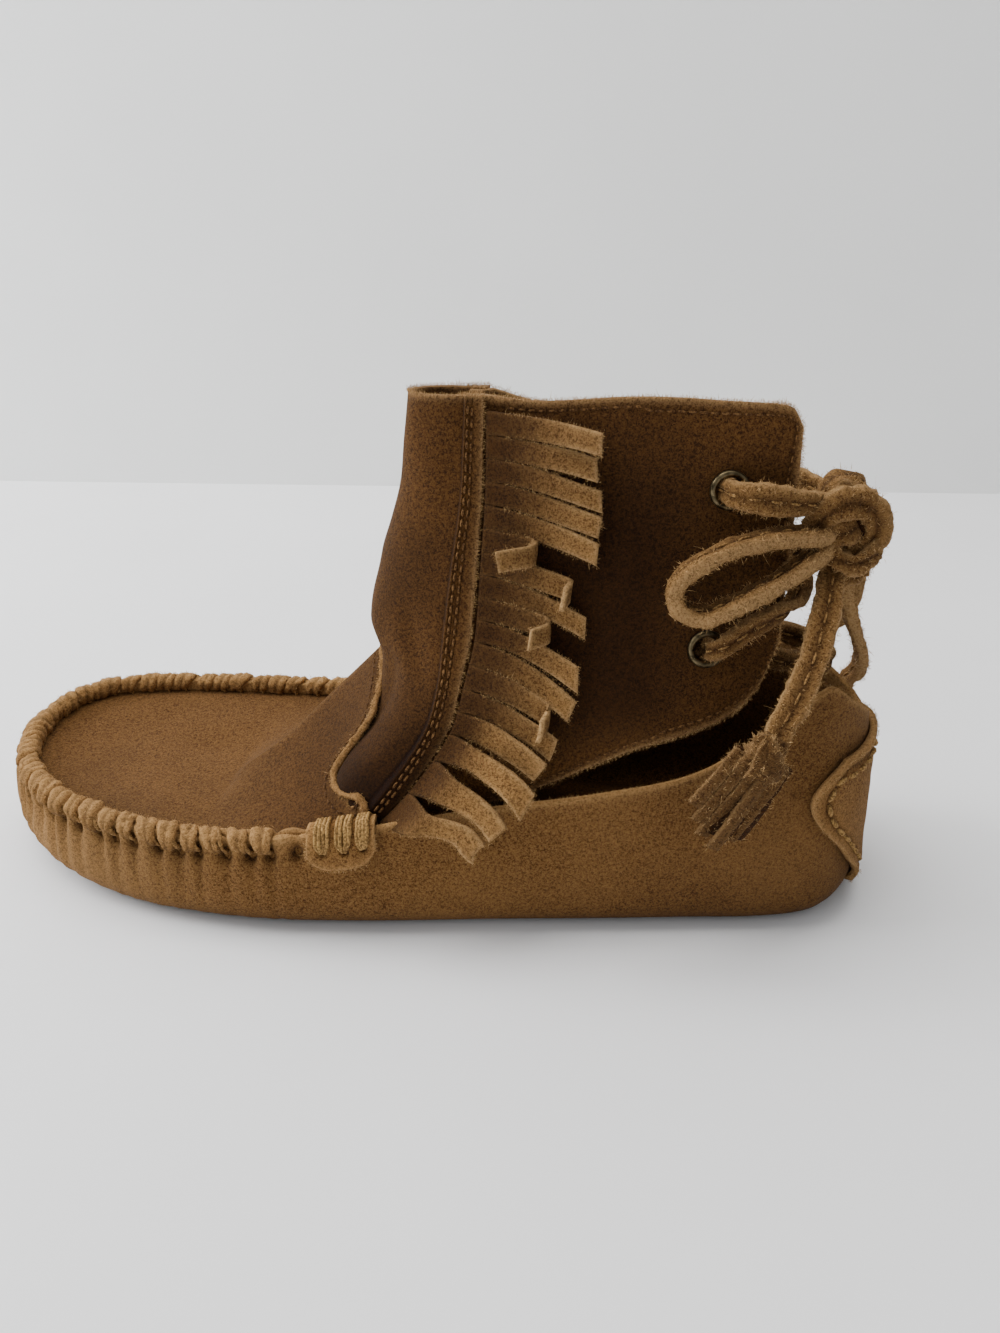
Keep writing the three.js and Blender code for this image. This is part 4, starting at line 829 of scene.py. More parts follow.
def makeBottom(s):
    at = ringSamples(s["step"])[0]
    column = at[:, None]
    r, top, lift = boot["bottomRadius"], ringTop(column), ringLift(column)
    widest = lift + r
    inset, z = [], []
    for turn in np.radians(np.linspace(0, 90, 8)):
        inset.append(r * (1 - np.sin(turn)) + 0 * column)
        z.append(widest - r * np.cos(turn))
    for share in 1 - (1 - np.linspace(0.04, 1, 34)) ** 1.35:
        h = widest + (top - widest) * share
        inset.append(wallInset(column, h))
        z.append(h)
    rimAt = len(z) - 1
    lean = ringLean(column)
    for turn in map(math.radians, (25, 60, 90, 120, 155)):
        inset.append(lean + boot["suede"] / 2 - boot["suede"] / 2 * math.cos(turn))
        z.append(top + boot["suede"] * 0.35 * math.sin(turn))
    for share in np.linspace(1, 0, 9):
        h = widest + (top - widest) * share
        inset.append(wallInset(column, h) + boot["suede"])
        z.append(h)
    for turn in np.radians((60, 30, 0)):
        inset.append(r - (r - boot["suede"]) * np.sin(turn))
        z.append(widest - (r - boot["floor"]) * np.cos(turn))
    inset, z = (np.concatenate([v * np.ones_like(column) for v in values], 1) for values in (inset, z))
    depth = np.maximum(top - z, 0)
    out, dark, lobe, mask = gathers(column, depth)
    outer = np.arange(inset.shape[1]) <= rimAt + 2
    base = besideRing(column, inset, z)
    slack = (softNoise(base, 26, 21) * 0.7 + softNoise(base, 11, 22) * 0.3) * s["slack"]
    slack = slack * smoothStep(z, lift + 1.5, lift + 12) * smoothStep(depth, 0, 8)
    move = np.where(outer, out + slack, 0)
    points = besideRing(column, inset - move, z)
    points[..., 2] += (lobe - 0.55) * s["rimLobe"] * mask * np.exp(-depth / 1.6)
    toeward = -base[..., 0]
    cutEdge = np.exp(-depth / 0.9) * (np.arange(inset.shape[1]) >= rimAt - 6)
    # pale cut edge and lobe tops, and a painted highlight on the toe side of the wall
    pale = cutEdge * 0.9 + mask * 0.55 * lobe * np.exp(-depth / 3.0) + 0.34 * smoothStep(toeward, 35, 90) * outer
    # darker at the ground line: dirt on the sole's edge, and painted shade where the wall meets the table
    scuffAndShade = 0.75 * bump(z, lift, 1.7) + 0.22 * bump(z, lift, 6)
    # painted shade: heel side and low wall darker, toe side lighter; the inside darker with depth
    paintedWallShade = 0.16 + 0.22 * smoothStep(-toeward, 10, 95) - 0.16 * smoothStep(toeward, 40, 95)
    paintedWallShade = paintedWallShade + 0.38 * np.exp(-np.maximum(z - lift - 2, 0) / 8) * (1 - smoothStep(toeward, 30, 90))
    shade = np.where(outer, np.maximum(dark, scuffAndShade) * (1 - paintedWallShade) + paintedWallShade, 0.45 * (1 - np.exp(-depth / 6)))
    rows, columns = z.shape
    faces = asTuples(gridFaces(rows, columns, 0, True, False, True))
    half = rows // 2  # strips across the boot close the sole and the floor inside
    for k in range(half - 1 if rows % 2 == 0 else half):
        strip = (k + 1, k + 2, (rows - k - 2) % rows, (rows - k - 1) % rows)
        faces.append(tuple(v * columns for v in strip))
        faces.append(tuple(v * columns + columns - 1 for v in reversed(strip)))
    addPiece("bottom_hide", points, faces, tanSuede, ["bottom"], "tan_suede", pale, shade)
    out = np.array([0, 0, 1.0]) - 0.6 * np.pad(ringInward(at), ((0, 0), (0, 1)))
    fibres("bottom_rim_fibres", points[:, rimAt + 3], out, 5200, 1.0, 0.09, 31)


makeBottom(bottom)
print("bottom made")

# insole pad on the floor of the bottom
insole = {"inset": 5.4, "thick": 2.2, "columns": 14}
near = np.linspace(0.5, ringRows / 2 - 0.02, 90)[:, None]
share = np.linspace(0, 1, insole["columns"])[None]
low, high = besideRing(near, insole["inset"], 0), besideRing(ringRows - near, insole["inset"], 0)
pad = low + (high - low) * share[..., None]
rest = ringLift(near) + boot["floor"] + boot["gap"]
edges = [np.sin(np.pi * np.clip(v * 6, 0, 0.5)) for v in (share, 1 - share)]
pad[..., 2] = rest + insole["thick"] * edges[0] * edges[1]
lower = pad.copy()
lower[..., 2] = rest
addPiece("insole_pad", np.stack([pad, lower]), shellFaces(*pad.shape[:2]), brownSuede, ["insole"], "cut_suede")

# the shaft's foot: its seam runs down to the tab on the rim, and the panel swells out over the instep
foot = {"shift": (-6.0, 5.0, -6.5), "low": 34, "high": 54, "swell": 7.5, "swellAt": 39, "above": 15, "below": 5.5}


def settle(points, side, weight):
    sink = (1 - smoothStep(points[..., 2], foot["low"], foot["high"])) * weight
    x, y, z = foot["shift"]
    return points + np.stack([v + 0 * sink for v in (x, y * side, z)], -1) * sink[..., None]


def swell(points, side, turn):
    z = points[..., 2]
    reach = np.where(z > foot["swellAt"], foot["above"], foot["below"])
    amount = foot["swell"] * bump(z, foot["swellAt"], reach)
    amount = amount * smoothStep(turn, 0.12, 0.5) * (1 - smoothStep(turn, 0.72, 0.9))
    moved = points + np.stack([-amount, 0.1 * side * amount, 0 * amount], -1)
    return settle(moved, side, smoothStep(turn, 0.72, 0.87))


# shaft's front panel, folded over and stitched down along its back edges
shaft = {"rows": 130, "wrinkle": 0.8, "crease": 1.6, "stitchTurns": (0.905, 0.872), "foot": (0.268, 0.247)}


def frontHeight(turn, share):
    low = (shaft["foot"][0] + (shaft["foot"][1] - shaft["foot"][0]) * turn) * boot["collar"]
    return low + (boot["collar"] - low) * share


def frontNormal(side, turn, z):
    n = faceNormal(frontPoint, side, np.maximum(turn, 0.02), z)
    flat = n * np.array([1, 0, 1])
    return np.where(np.asarray(turn)[..., None] < 0.02, unit(flat), n)


def roundFront(turns, shares):  # places from the outer seam round the front to the inner one
    signed = np.concatenate([-turns[:0:-1], turns])
    side = np.where(signed < 0, -1, 1)
    side, turn, share = np.broadcast_arrays(side[None], np.abs(signed)[None], shares[:, None])
    z = frontHeight(turn, share)
    place, normal = np.empty(z.shape + (3,)), np.empty(z.shape + (3,))
    for k in (-1, 1):
        m = side == k
        place[m], normal[m] = frontPoint(k, turn[m], z[m]), frontNormal(k, turn[m], z[m])
    return side, turn, z, place, normal


def frontSkin(s):
    turns = np.concatenate([np.linspace(0, 0.8, 42), np.linspace(0.81, 0.86, 10), np.linspace(0.87, 0.99, 12)])
    side, turn, z, over, normal = roundFront(turns, np.linspace(-0.06, 1, s["rows"]))
    waves = (softNoise(over * [1, 1, 0.6], 17, 5) * 0.7 + softNoise(over, 8, 6) * 0.25) * s["wrinkle"]
    # one crease on the outer side of the ankle, one slanting above it, and the bulge of the instep between them
    creases = -s["crease"] * bump(z, 58, 13) * bump(turn, 0.42, 0.10) * (side < 0)
    creases += -s["crease"] * 0.7 * bump(z, 74, 9) * bump(turn - 0.66 + (z - 74) * 0.006, 0, 0.08)
    creases += s["crease"] * 0.6 * bump(z, 66, 10) * bump(turn, 0.2, 0.14)
    fade = 1 - smoothStep(turn, 0.72, 0.86) * 0.8
    step = boot["fold"] * smoothStep(turn, boot["foldTurn"] - 0.01, boot["foldTurn"] + 0.016)
    for stitch in s["stitchTurns"]:
        step = step - 0.75 * bump(turn, stitch, 0.011)
    skin = swell(over + normal * ((waves + creases) * fade + step)[..., None], side, turn)
    return skin, swell(over - normal * boot["suede"], side, turn), turn


skin, lining, turn = frontSkin(shaft)
far = edgeDistance(skin, ("left", "right", "last"))
# painted shade: a dark line in the crease at the fold, and darker towards the foot of the panel
paintedShade = 0.6 * bump(turn, 0.838, 0.010) + 0.18 + 0.68 * (1 - smoothStep(skin[..., 2], 36, 72))
addPiece("shaft_front_panel", np.stack([skin, lining]), shellFaces(*skin.shape[:2]), brownSuede, ["shaft_front"],
         "tan_suede", np.stack([np.exp(-far / 0.7), np.exp(-far / 1.5) * 0.4]),
         np.stack([paintedShade, np.full(far.shape, 0.35)]))
seams = []
for side in (-1, 1):
    for stitch in shaft["stitchTurns"]:
        turns = np.full(240, stitch)
        z = frontHeight(stitch, np.linspace(0.0, 0.995, len(turns)))
        n = frontNormal(side, turns, z)
        line = swell(frontPoint(side, stitch, z) + n * (boot["fold"] - 0.25), side, turns)
        seams += stitchRow(line, n, 2.7, 1.9, 0.36, 0.1)
addPiece("shaft_front_stitches", *gather(seams)[:2], seamThread)
borderFibres("shaft_front_fibres", skin, ("left", "right", "last"), 2, 4200, 1.0, 33)
print("front panel made")

# plug over the toes, with the tent crest that runs up to the front panel
plug = {"lip": 3.4, "sag": 2.6, "crest": 40, "crestLength": 47, "reach": 9, "ear": 8.5, "start": 8.64,
        "spineToe": 0.875, "rows": 170, "shares": 44, "thick": 2.0, "drift": 7.5, "hollow": (-67, 11), "knuckle": -50}


def spineAt(at):
    mid = (ringPoint(at) + ringPoint(ringRows - at)) / 2
    front = (boot["heelShare"] - plug["spineToe"]) * boot["length"]
    along = np.linspace(plug["ear"], ringRows / 2, 800)
    mids = (ringPoint(along) + ringPoint(ringRows - along)) / 2
    last = mids[mids[:, 0] >= front][-1]
    return np.where(mid[..., :1] < front, last, mid)


def plugSkin(s):
    near = np.linspace(s["start"], ringRows / 2, s["rows"])[:, None]
    share = (np.linspace(0, 1, s["shares"]) ** 1.25)[None]
    crestFront = spineAt(np.array(s["ear"]))[0] - s["reach"] - s["crestLength"]
    halves = []
    for at in (near, ringRows - near):
        outer = ringLean(at) + boot["suede"] + boot["gap"]
        edge = ringPoint(at) + ringInward(at) * (outer + boot["suede"])[..., None]
        spine = spineAt(near)
        spine[..., 1] -= s["drift"] * smoothStep(spine[..., 0], -78, -54) * (1 - smoothStep(spine[..., 0], -48, -18))
        p = edge + (spine - edge) * share[..., None]
        back = np.clip((p[..., 0] - crestFront) / s["crestLength"], 0, 1)
        middle = (ringTop(at) + ringTop(ringRows - at)) / 2
        top = ringTop(at) + (middle - ringTop(at)) * share
        flat = top - s["lip"] - s["sag"] * (1 - (1 - share) ** 2)
        z = flat + s["crest"] * back * share ** (2 + (0.6 - 2) * back)
        sheet = np.concatenate([p, z[..., None]], -1)
        waves = softNoise(sheet, 22, 8) * 0.7 + softNoise(sheet, 9, 9) * 0.22
        sheet[..., 2] += waves * smoothStep(share, 0, 0.2) * (1 - 0.6 * back)
        away = ((sheet[..., 0] - s["hollow"][0]) / 12) ** 2 + ((sheet[..., 1] - s["hollow"][1]) / 9) ** 2
        sheet[..., 2] += 1.6 * bump(sheet[..., 0], s["knuckle"], 7) * share**3 - 1.5 * np.exp(-away)
        mask = seamMask(at)
        lobe = np.abs(np.sin(math.pi * (seamPhase(at) + 0.25))) ** 0.7
        over = [besideRing(at, outer + boot["suede"] * 0.4, ringTop(at) + (lobe - 0.5) * 1.2 * mask + 0.75)]
        under = [besideRing(at, outer, ringTop(at))]
        for k, down in enumerate(np.linspace(0, 1, 7)[:-1]):
            bulge = (lobe - 0.4) * 0.9 * mask * np.sin(math.pi * min(down + 0.25, 1))
            h = ringTop(at) + (lobe - 0.5) * 1.2 * mask * (1 - down) + 0.5 * (1 - down) - s["lip"] * down
            over.append(besideRing(at, outer + boot["suede"] + bulge, h))
            under.append(besideRing(at, outer, ringTop(at) - 0.5 - k))
        lipMask = np.concatenate([np.ones(len(over)), np.zeros(s["shares"])])[None] * np.ones_like(at)
        halves.append((np.concatenate(over + [sheet], 1), np.concatenate(under + [sheet - [0, 0, s["thick"]]], 1),
                       lipMask))
    return [np.concatenate([a, b[:, -2::-1]], 1) for a, b in zip(*halves)]


def shaftRoom(grow):  # the room that the front panel takes, with some clearance
    turns = np.concatenate([np.linspace(0, 0.83, 44), [0.845, 0.87, 0.93, 0.99]])
    side, turn, _, place, normal = roundFront(turns, np.linspace(-0.3, 0.6, 60))
    out = grow + np.where(turn > boot["foldTurn"], boot["fold"], 0)
    over = swell(place + normal * out[..., None], side, turn)
    under = over.copy()
    under[..., 0] = 60
    return np.stack([over, under]).reshape(-1, 3), shellFaces(*over.shape[:2])


def makePlug(s):
    over, under, lipMask = plugSkin(s)
    rows, columns = over.shape[:2]
    count = np.arange(columns)
    # painted shade in the groove where the lip meets the plug
    lipGrooveShade = np.exp(-np.abs(count - 6.5) / 1.2) + np.exp(-np.abs(count[::-1] - 6.5) / 1.2)
    # painted highlight along the crest
    ridgeHighlight = np.exp(-np.abs(count - columns // 2) / 1.3)[None] * smoothStep(over[..., 2], 32, 44) * 0.55
    pale = np.stack([np.maximum(lipMask * 0.7, ridgeHighlight), lipMask * 0.3])
    # painted shade: the plug darker overall, and more towards the crest
    paintedShade = 0.52 * (1 - lipMask) + 0.24 * smoothStep(over[..., 0], -62, -20)
    shade = np.stack([np.clip(lipGrooveShade, 0, 1)[None] * 0.35 + paintedShade, np.full((rows, columns), 0.3)])
    piece = addPiece("plug_hide", np.stack([over, under]), shellFaces(rows, columns)[:, ::-1], tanSuede, ["plug"],
                     "tan_suede", pale, shade)
    room, roomFaces = shaftRoom(0.45)
    trimmed = cutAway(piece, room, roomFaces, 2e-6)
    tree = BVHTree.FromPolygons([Vector(v) for v in room * mm], asTuples(roomFaces))
    values = np.zeros(len(trimmed.vertices), np.float32)
    trimmed.attributes["paleEdgeAndHighlight"].data.foreach_get("value", values)
    roots = []
    for v in trimmed.vertices:  # the cut edge is paler, and is found again for its hem
        if v.co.x > -0.035:
            gap = tree.find_nearest(v.co)[3]
            values[v.index] = max(values[v.index], math.exp(-gap / 0.0009))
            if gap < 0.0002:
                roots.append(tuple(v.co / mm))
    trimmed.attributes["paleEdgeAndHighlight"].data.foreach_set("value", values)
    top = BVHTree.FromPolygons([v.co for v in trimmed.vertices], [tuple(q.vertices) for q in trimmed.polygons])
    roots, hems, seams = np.array(roots), [], []
    for side in (-1, 1):
        line = []
        for y in np.arange(1.0, 42, 1.6):  # the cut edge's highest point in each slice across the boot
            near = roots[np.abs(roots[:, 1] - side * y) < 0.9]
            if len(near):
                line.append(near[np.argmax(near[:, 2])])
        line = np.array(line)
        line[1:-1] = (line[:-2] + 2 * line[1:-1] + line[2:]) / 4
        path = smoothPath(line, 0.6)
        hems.append(tubeMesh(path + [-0.4, 0, 0.2], [(1, 0, 0.4)], 1.9, 1.3, 14, 0, 0.8, 0.3, 140 + side))
        away = unit(np.cross(np.gradient(path, axis=0), [0, 0, 1.0])) * side
        away = np.where(away[:, :1] > 0, -away, away)
        hits = [top.ray_cast(Vector((x * mm, y * mm, 0.12)), Vector((0, 0, -1))) for x, y, _ in path + away * 3.0]
        places = [np.array(hit) / mm for hit, up, _, _ in hits if hit is not None]
        ups = [np.array(up) for hit, up, _, _ in hits if hit is not None]
        line = smoothPath(places[::3], 0.4)
        seams += stitchRow(line, spread(ups, len(line)), 2.7, 2.1, 0.3, 0.05)
    points, faces, _, shade = gather(hems)
    addPiece("plug_hem", points, faces, tanSuede, pale=np.full(len(points), 0.4), shade=shade + 0.15)
    addPiece("plug_hem_stitches", *gather(seams)[:2], thread)
    fibres("plug_edge_fibres", points, points - np.roll(points, 7, 0), 1800, 0.9, 0.09, 35)


makePlug(plug)

# tab at each end of the plug's seam, lapped over the rim and sewn with thick yarn
tab = {"from": 9.47, "to": 8.62, "drop": 8.5, "steps": 40, "groups": (0.2, 0.5, 0.8), "dent": 0.9,
       "yarnColumns": [0, 1, 2, 3, 5, 8], "holeColumn": 10}


def tabFace(row, drop, lift):  # from inside the plug's lip over the rim and down the wall
    top, lean = ringTop(row), ringLean(row)
    inner = lean + boot["suede"] * 2 + boot["gap"]
    line = [besideRing(row, inner + 0.2 + lift * 0.5, top - 1.5), besideRing(row, inner, top + 0.5 + lift),
            besideRing(row, inner - 1.6, top + 0.9 + lift),
            besideRing(row, lean + 0.4 - lift * 0.4, top + 0.8 + lift)]
    for up in np.linspace(0, 1, 16):
        z = top - 0.2 - drop * up
        belly = 0.35 * np.sin(math.pi * up)
        line.append(besideRing(row, wallInset(row, z) - boot["gap"] - lift - belly, z))
    return np.stack(line, 1)


tabParts, yarnParts, tabRoots, tabOuts = [], [], [], []
for side in (-1, 1):
    share = np.linspace(0, 1, tab["steps"])
    row = tab["from"] + (tab["to"] - tab["from"]) * share
    row = row if side < 0 else ringRows - row
    drop = tab["drop"] * (1 - np.abs(2 * share - 1) ** 3.5 * 0.5)
    over, under = tabFace(row, drop, 1.9), tabFace(row, drop, 0.05)
    far = edgeDistance(over, ("first", "last", "right"))
    last = tab["steps"] - 1
    holes = np.zeros_like(far)
    for centre in tab["groups"]:
        hole = over[int(round(centre * last)), tab["holeColumn"]]
        holes = np.maximum(holes, np.exp(-(np.linalg.norm(over - hole, axis=-1) / 1.1) ** 4))
    over = over - unit(over - under) * (holes * tab["dent"])[..., None]
    pale = np.exp(-far / 0.9)
    # painted shade in the yarn holes, where the dents are
    tabParts.append((np.stack([over, under]), shellFaces(*over.shape[:2]), np.stack([pale, pale]).ravel(),
                     np.stack([holes, 0.2 + 0 * far]).ravel()))
    border = np.concatenate([over[0, 4:], over[:, -1], over[-1, 4:]])
    tabRoots.append(border)
    tabOuts.append(border - over[tab["steps"] // 2, 8])
    for centre in tab["groups"]:
        for k in range(4):
            i = int(round((centre + (k - 1.5) * 0.055) * last))
            line = over[i, tab["yarnColumns"]].copy()
            line[-1] = over[int(round((centre + (k - 1.5) * 0.012) * last)), tab["holeColumn"]]
            out = unit(over[i] - under[i])[tab["yarnColumns"]]
            path = smoothPath(line + out * 0.45, 0.35)
            yarnParts.append(tubeMesh(path, [(1, 0, 0)], 1.15, 1.15, 10, 0, 1.0, 0.12, k))
points, faces, pale, shade = gather(tabParts)
addPiece("plug_tabs", points, faces, tanSuede, ["plug"], pale=pale, shade=shade)
addPiece("plug_tab_yarn", *gather(yarnParts)[:2], yarn)
fibres("plug_tab_fibres", np.concatenate(tabRoots), np.concatenate(tabOuts), 700, 0.9, 0.09, 36)

# rim seam: a rounded lobe of gathered hide between each two holes, and the thread that pulls them in
rim = {"lobeWidth": (2.2, 3.6, 4.8, 5.4, 5.0, 3.8), "lobeThick": (1.2, 1.9, 2.3, 2.5, 2.2, 1.6), "slant": 0.46,
       "sides": 20, "thread": 1.1, "hairs": 12000}
fineAt = ringSamples(0.25)[0]
phases = seamPhase(fineAt)


def rimPlace(phase):
    return float(np.interp(phase, phases, fineAt))


def overRim(phase, out, across, rise):  # by phase along the seam, mm outward or across the seam, mm above the rim
    at = rimPlace(phase)
    lean = ringLean(at)
    inset = lean - out if across is None else lean + boot["suede"] + boot["gap"] / 2 + across
    return besideRing(at, inset, ringTop(at) + rise)


rimRandom = np.random.default_rng(12)
lobes, threads = [], []
for k in range(int(phases.min()), int(phases.max()) + 2):
    here = rimPlace(k + 0.5)
    if not bottom["seamFrom"] + 0.12 < rimPlace(k - 0.1) < here < ringRows - bottom["seamFrom"] - 0.15:
        continue
    sway, size = rimRandom.uniform(-0.07, 0.07), rimRandom.uniform(0.86, 1.12)
    hand = 1 if here < ringRows / 2 else -1
    lean, middle = rim["slant"] * hand, k + 0.5 + sway
    route = [overRim(middle + lean * turn, out, across, rise) for turn, out, across, rise in (
        (-0.4, 0.1, None, -3.6), (-0.35, 1.1 * size, None, -2.4), (-0.2, 1.2 * size, None, -0.8),
        (0, 0, -0.9, 0.9 * size), (0.3, 0, 1.3, 0.7 * size), (0.6, 0, 2.1, -1.3), (0.7, 0, 1.7, -2.8))]
    along = besideRing(here + 0.03, 0, 0) - besideRing(here - 0.03, 0, 0)
    path = smoothPath(route, 0.4)
    width, thick = np.array(rim["lobeWidth"]) * size, np.array(rim["lobeThick"]) * size
    points, faces, _, shade = tubeMesh(path, [along], width, thick, rim["sides"], 0.35, 0.8, 0.55, 100 + k)
    run = np.repeat(np.linspace(0, 1, len(path)), rim["sides"])
    pale = 0.25 + 0.5 * np.sin(math.pi * run) ** 2
    # painted shade where each lobe goes into its hole, and in the groove along it
    lobes.append((points, faces, pale, np.maximum(0.7 * bump(run, 0, 0.13), shade)))
    route = [overRim(k + turn, out, across, rise) for turn, out, across, rise in (
        (0.02, -1.4, None, -4.0), (0.04, 0.3, None, -3.4), (0.12 * hand, 0.9, None, -1.2),
        (0.24 * hand, 0, -0.8, 1.0), (0.36 * hand, 0, 1.2, 0.9), (0.5 * hand, 0, 2.4, -1.2),
        (0.5 * hand, 0, 2.0, -3.4))]
    threads.append(tubeMesh(smoothPath(route, 0.4), [(0, 0, 1)], rim["thread"], rim["thread"], 8, 0, 1.0, 0.15, k))
points, faces, pale, shade = gather(lobes)
addPiece("rim_gathers", points, faces, tanSuede, pale=pale, shade=shade)
addPiece("rim_whip_thread", *gather(threads)[:2], paleThread)
tops = points[points[:, 2] > ringTop(14.0) - 1.5]
fibres("rim_gather_fibres", tops, np.tile([0, 0, 1.0], (len(tops), 1)), rim["hairs"], 1.0, 0.09, 37, 1.4)
print("plug made")

# two side flaps of the shaft, open at the back
quarter = {"rows": 90, "columns": 110, "wrinkle": 0.75, "hole": 3.5, "stitchIn": 2.5, "pitch": 2.5,
           "eyelets": {"upper": (0.79, 0.85), "lower": (0.77, 0.566)}}
eyelet = {"sides": 32, "profile": [  # radius, and mm out from the hide
    (4.75, 0.25), (4.7, 0.75), (4.35, 1.12), (3.9, 1.22), (3.45, 1.08), (3.1, 0.7), (2.95, 0.1), (2.95, -1.7),
    (3.1, -2.3), (3.6, -2.6), (4.3, -2.5), (4.7, -2.05), (4.7, -1.75), (3.4, -1.7), (3.4, 0.15)]}


def eyeletPlace(side, name):
    back, height = quarter["eyelets"][name]
    z = height * boot["collar"]
    centre = quarterPoint(side, np.array(back), np.array(z))
    return centre, faceNormal(quarterPoint, side, np.array(back), np.array(z))


def quarterSkin(side, s):
    back = np.concatenate([np.linspace(0.012, 0.9, s["columns"] - 24), np.linspace(0.907, 1, 24)])[None]
    share = np.linspace(0, 1, s["rows"])[:, None]
    low, high = quarterEdge(side, "lower", back), quarterEdge(side, "upper", back)
    z = low + (high - low) * share
    back = back * np.ones_like(z)
    over = quarterPoint(side, back, z)
    normal = faceNormal(quarterPoint, side, back, z)
    waves = (softNoise(over, 19, 15) * 0.7 + softNoise(over, 8, 16) * 0.25) * s["wrinkle"]
    far = edgeDistance(over, ("first", "last", "right"))
    dents = np.zeros_like(z)
    for name in s["eyelets"]:
        away = np.linalg.norm(over - eyeletPlace(side, name)[0], axis=-1)
        dents = dents - 0.5 * bump(away, 0, 7)
        waves = waves * (1 - bump(away, 0, 8))
    flat, roll = smoothStep(back, 0.0, 0.12), 0.35 * np.exp(-far)
    move = waves * flat + dents - 0.5 * bump(far, s["stitchIn"], 0.6) + roll * 0.3
    skin, lining = over + normal * move[..., None], over - normal * (boot["suede"] - waves * flat)[..., None]
    tucked = np.linspace(0.86, 0.985, 6)[None] * np.ones_like(z[:, :1])
    height = z[:, :1] * np.ones_like(tucked)
    hem, hemNormal = frontPoint(side, tucked, height), frontNormal(side, tucked, height)
    weight = np.concatenate([np.ones_like(tucked), 1 - smoothStep(back, 0, 0.32)], 1)
    skin = settle(np.concatenate([hem - hemNormal * (boot["suede"] + 0.15), skin], 1), side, weight)
    lining = settle(np.concatenate([hem - hemNormal * (boot["suede"] * 2), lining], 1), side, weight)
    far = edgeDistance(skin, ("first", "last", "right"))
    return skin, lining, np.concatenate([hemNormal, normal], 1), far


def stitchLoop(grid, normals, inset, pitch, length, radius):  # round the free edges, from the seam and back to it
    rows, columns = grid.shape[:2]

    def step(line):  # first place on a row or column that is the wanted distance inside
        return int(np.argmin(np.abs(runAlong(line) - inset)))
    first, stop = 9, columns - 1 - step(grid[rows // 2, ::-1])
    low, high = step(grid[:, stop]), rows - 1 - step(grid[::-1, stop])
    places = [(step(grid[:, c]), c) for c in range(first, stop)]
    places += [(r, columns - 1 - step(grid[r, ::-1])) for r in range(low + 1, high)]
    places += [(rows - 1 - step(grid[::-1, c]), c) for c in range(stop, first, -1)]
    r, c = np.array(places)[::3].T
    path = smoothPath(grid[r, c], 0.5)
    return stitchRow(path, spread(normals[r, c], len(path)), pitch, length, radius, 0.16)


def addEyelet(piece, side, name, level):
    centre, out = eyeletPlace(side, level)
    sides = eyelet["sides"]
    turn = np.linspace(0, 2 * math.pi, sides, endpoint=False)[:, None]
    across = unit(np.cross(out, [0, 0, 1.0]))
    ring = np.cos(turn) * across + np.sin(turn) * np.cross(across, out)
    hole = np.concatenate([centre + ring * quarter["hole"] + out * 4, centre + ring * quarter["hole"] - out * 6])
    walls = [(k, (k + 1) % sides, (k + 1) % sides + sides, k + sides) for k in range(sides)]
    cutAway(piece, hole, walls + [tuple(range(sides))[::-1], tuple(range(sides, 2 * sides))])
    radius, height = np.array(eyelet["profile"]).T
    points = centre + ring[:, None] * radius[None, :, None] + out * height[None, :, None]
    addPiece(f"eyelet_{name}_{level}_ring", points, gridFaces(sides, len(radius), 0, side > 0, True, True), brass,
             [f"eyelet_{name}_{level}"], "eyelet_metal")


for side, name in ((-1, "outer"), (1, "inner")):
    over, under, normal, far = quarterSkin(side, quarter)
    faces = shellFaces(*over.shape[:2])
    pale = np.stack([np.exp(-far / 0.9), np.exp(-far / 1.4) * 0.7])
    # painted shade: darkest in the fringe's shadow, lighter towards the edges and the top
    fringeShadow = (1 - smoothStep(over[..., 0], 58, 84)) * smoothStep(over[..., 2], 44, 64)
    quarterPaintedShade = (0.32 + 0.5 * fringeShadow) * smoothStep(over[..., 0], 12, 30)
    quarterPaintedShade = quarterPaintedShade * (1 - 0.35 * smoothStep(over[..., 2], 104, 126)) * (1 - 0.8 * np.exp(-far / 5))
    # painted shade in the groove of the stitch line
    groove = 0.3 * bump(far, quarter["stitchIn"], 0.5)
    shade = np.stack([np.clip(quarterPaintedShade + groove, 0, 1), np.full(far.shape, 0.3)])
    faces = faces[:, ::-1] if side < 0 else faces
    piece = addPiece(f"quarter_{name}_flap", np.stack([over, under]), faces, brownSuede, [f"quarter_{name}"],
                     "tan_suede", pale, shade)
    for level in quarter["eyelets"]:
        addEyelet(piece, side, name, level)
    seams = stitchLoop(over, normal, quarter["stitchIn"], quarter["pitch"], 1.8, 0.34)
    addPiece(f"quarter_{name}_stitches", *gather(seams)[:2], seamThread)
    borderFibres(f"quarter_{name}_fibres", over, ("first", "right", "last"), 2, 5200, 1.1, 50 + side)
print("quarters made")

# fringes: 17 cut strips on a band that is caught under the folded edge; hook is radius, turn in degrees and tail
fringe = {"length": 29, "thick": 1.3, "strips": 17, "gap": 0.22, "band": 3.6, "start": 1.1, "top": 0.974,
          "foot": 0.279, "lift": 0.42, "steps": 46, "slim": (14, 15, 16),
          "shapes": [(0.12, 0.10, 0), (0.15, 0.08, 0), (0.19, 0.05, 0), (0.22, 0.04, 0), (0.25, 0.06, 0),
                     (0.16, 0.08, 0), (0.24, 0.05, 0), (0.30, 0.02, 0), (0.22, 0.06, 0), (0.34, 0.03, 0),
                     (0.40, 0.04, 0), (0.34, 0.09, 0), (0.36, 0.06, 0), (0.34, 0.10, 0.02), (0.30, 0.24, 0.08),
                     (0.34, 0.22, 0.20), (0.32, 0.20, 0.28)],
          "hooks": {5: (3.3, 168, 6.6), 6: (1.3, 105, 3.6), 8: (2.3, 150, 4.4), 11: (1.2, 105, 3.2)},
          "twists": {0: 0.25, 1: 0.3, 9: -0.2, 10: 0.3, 12: -0.3, 13: -0.5, 14: 1.0, 15: 0.25, 16: 0.15}}


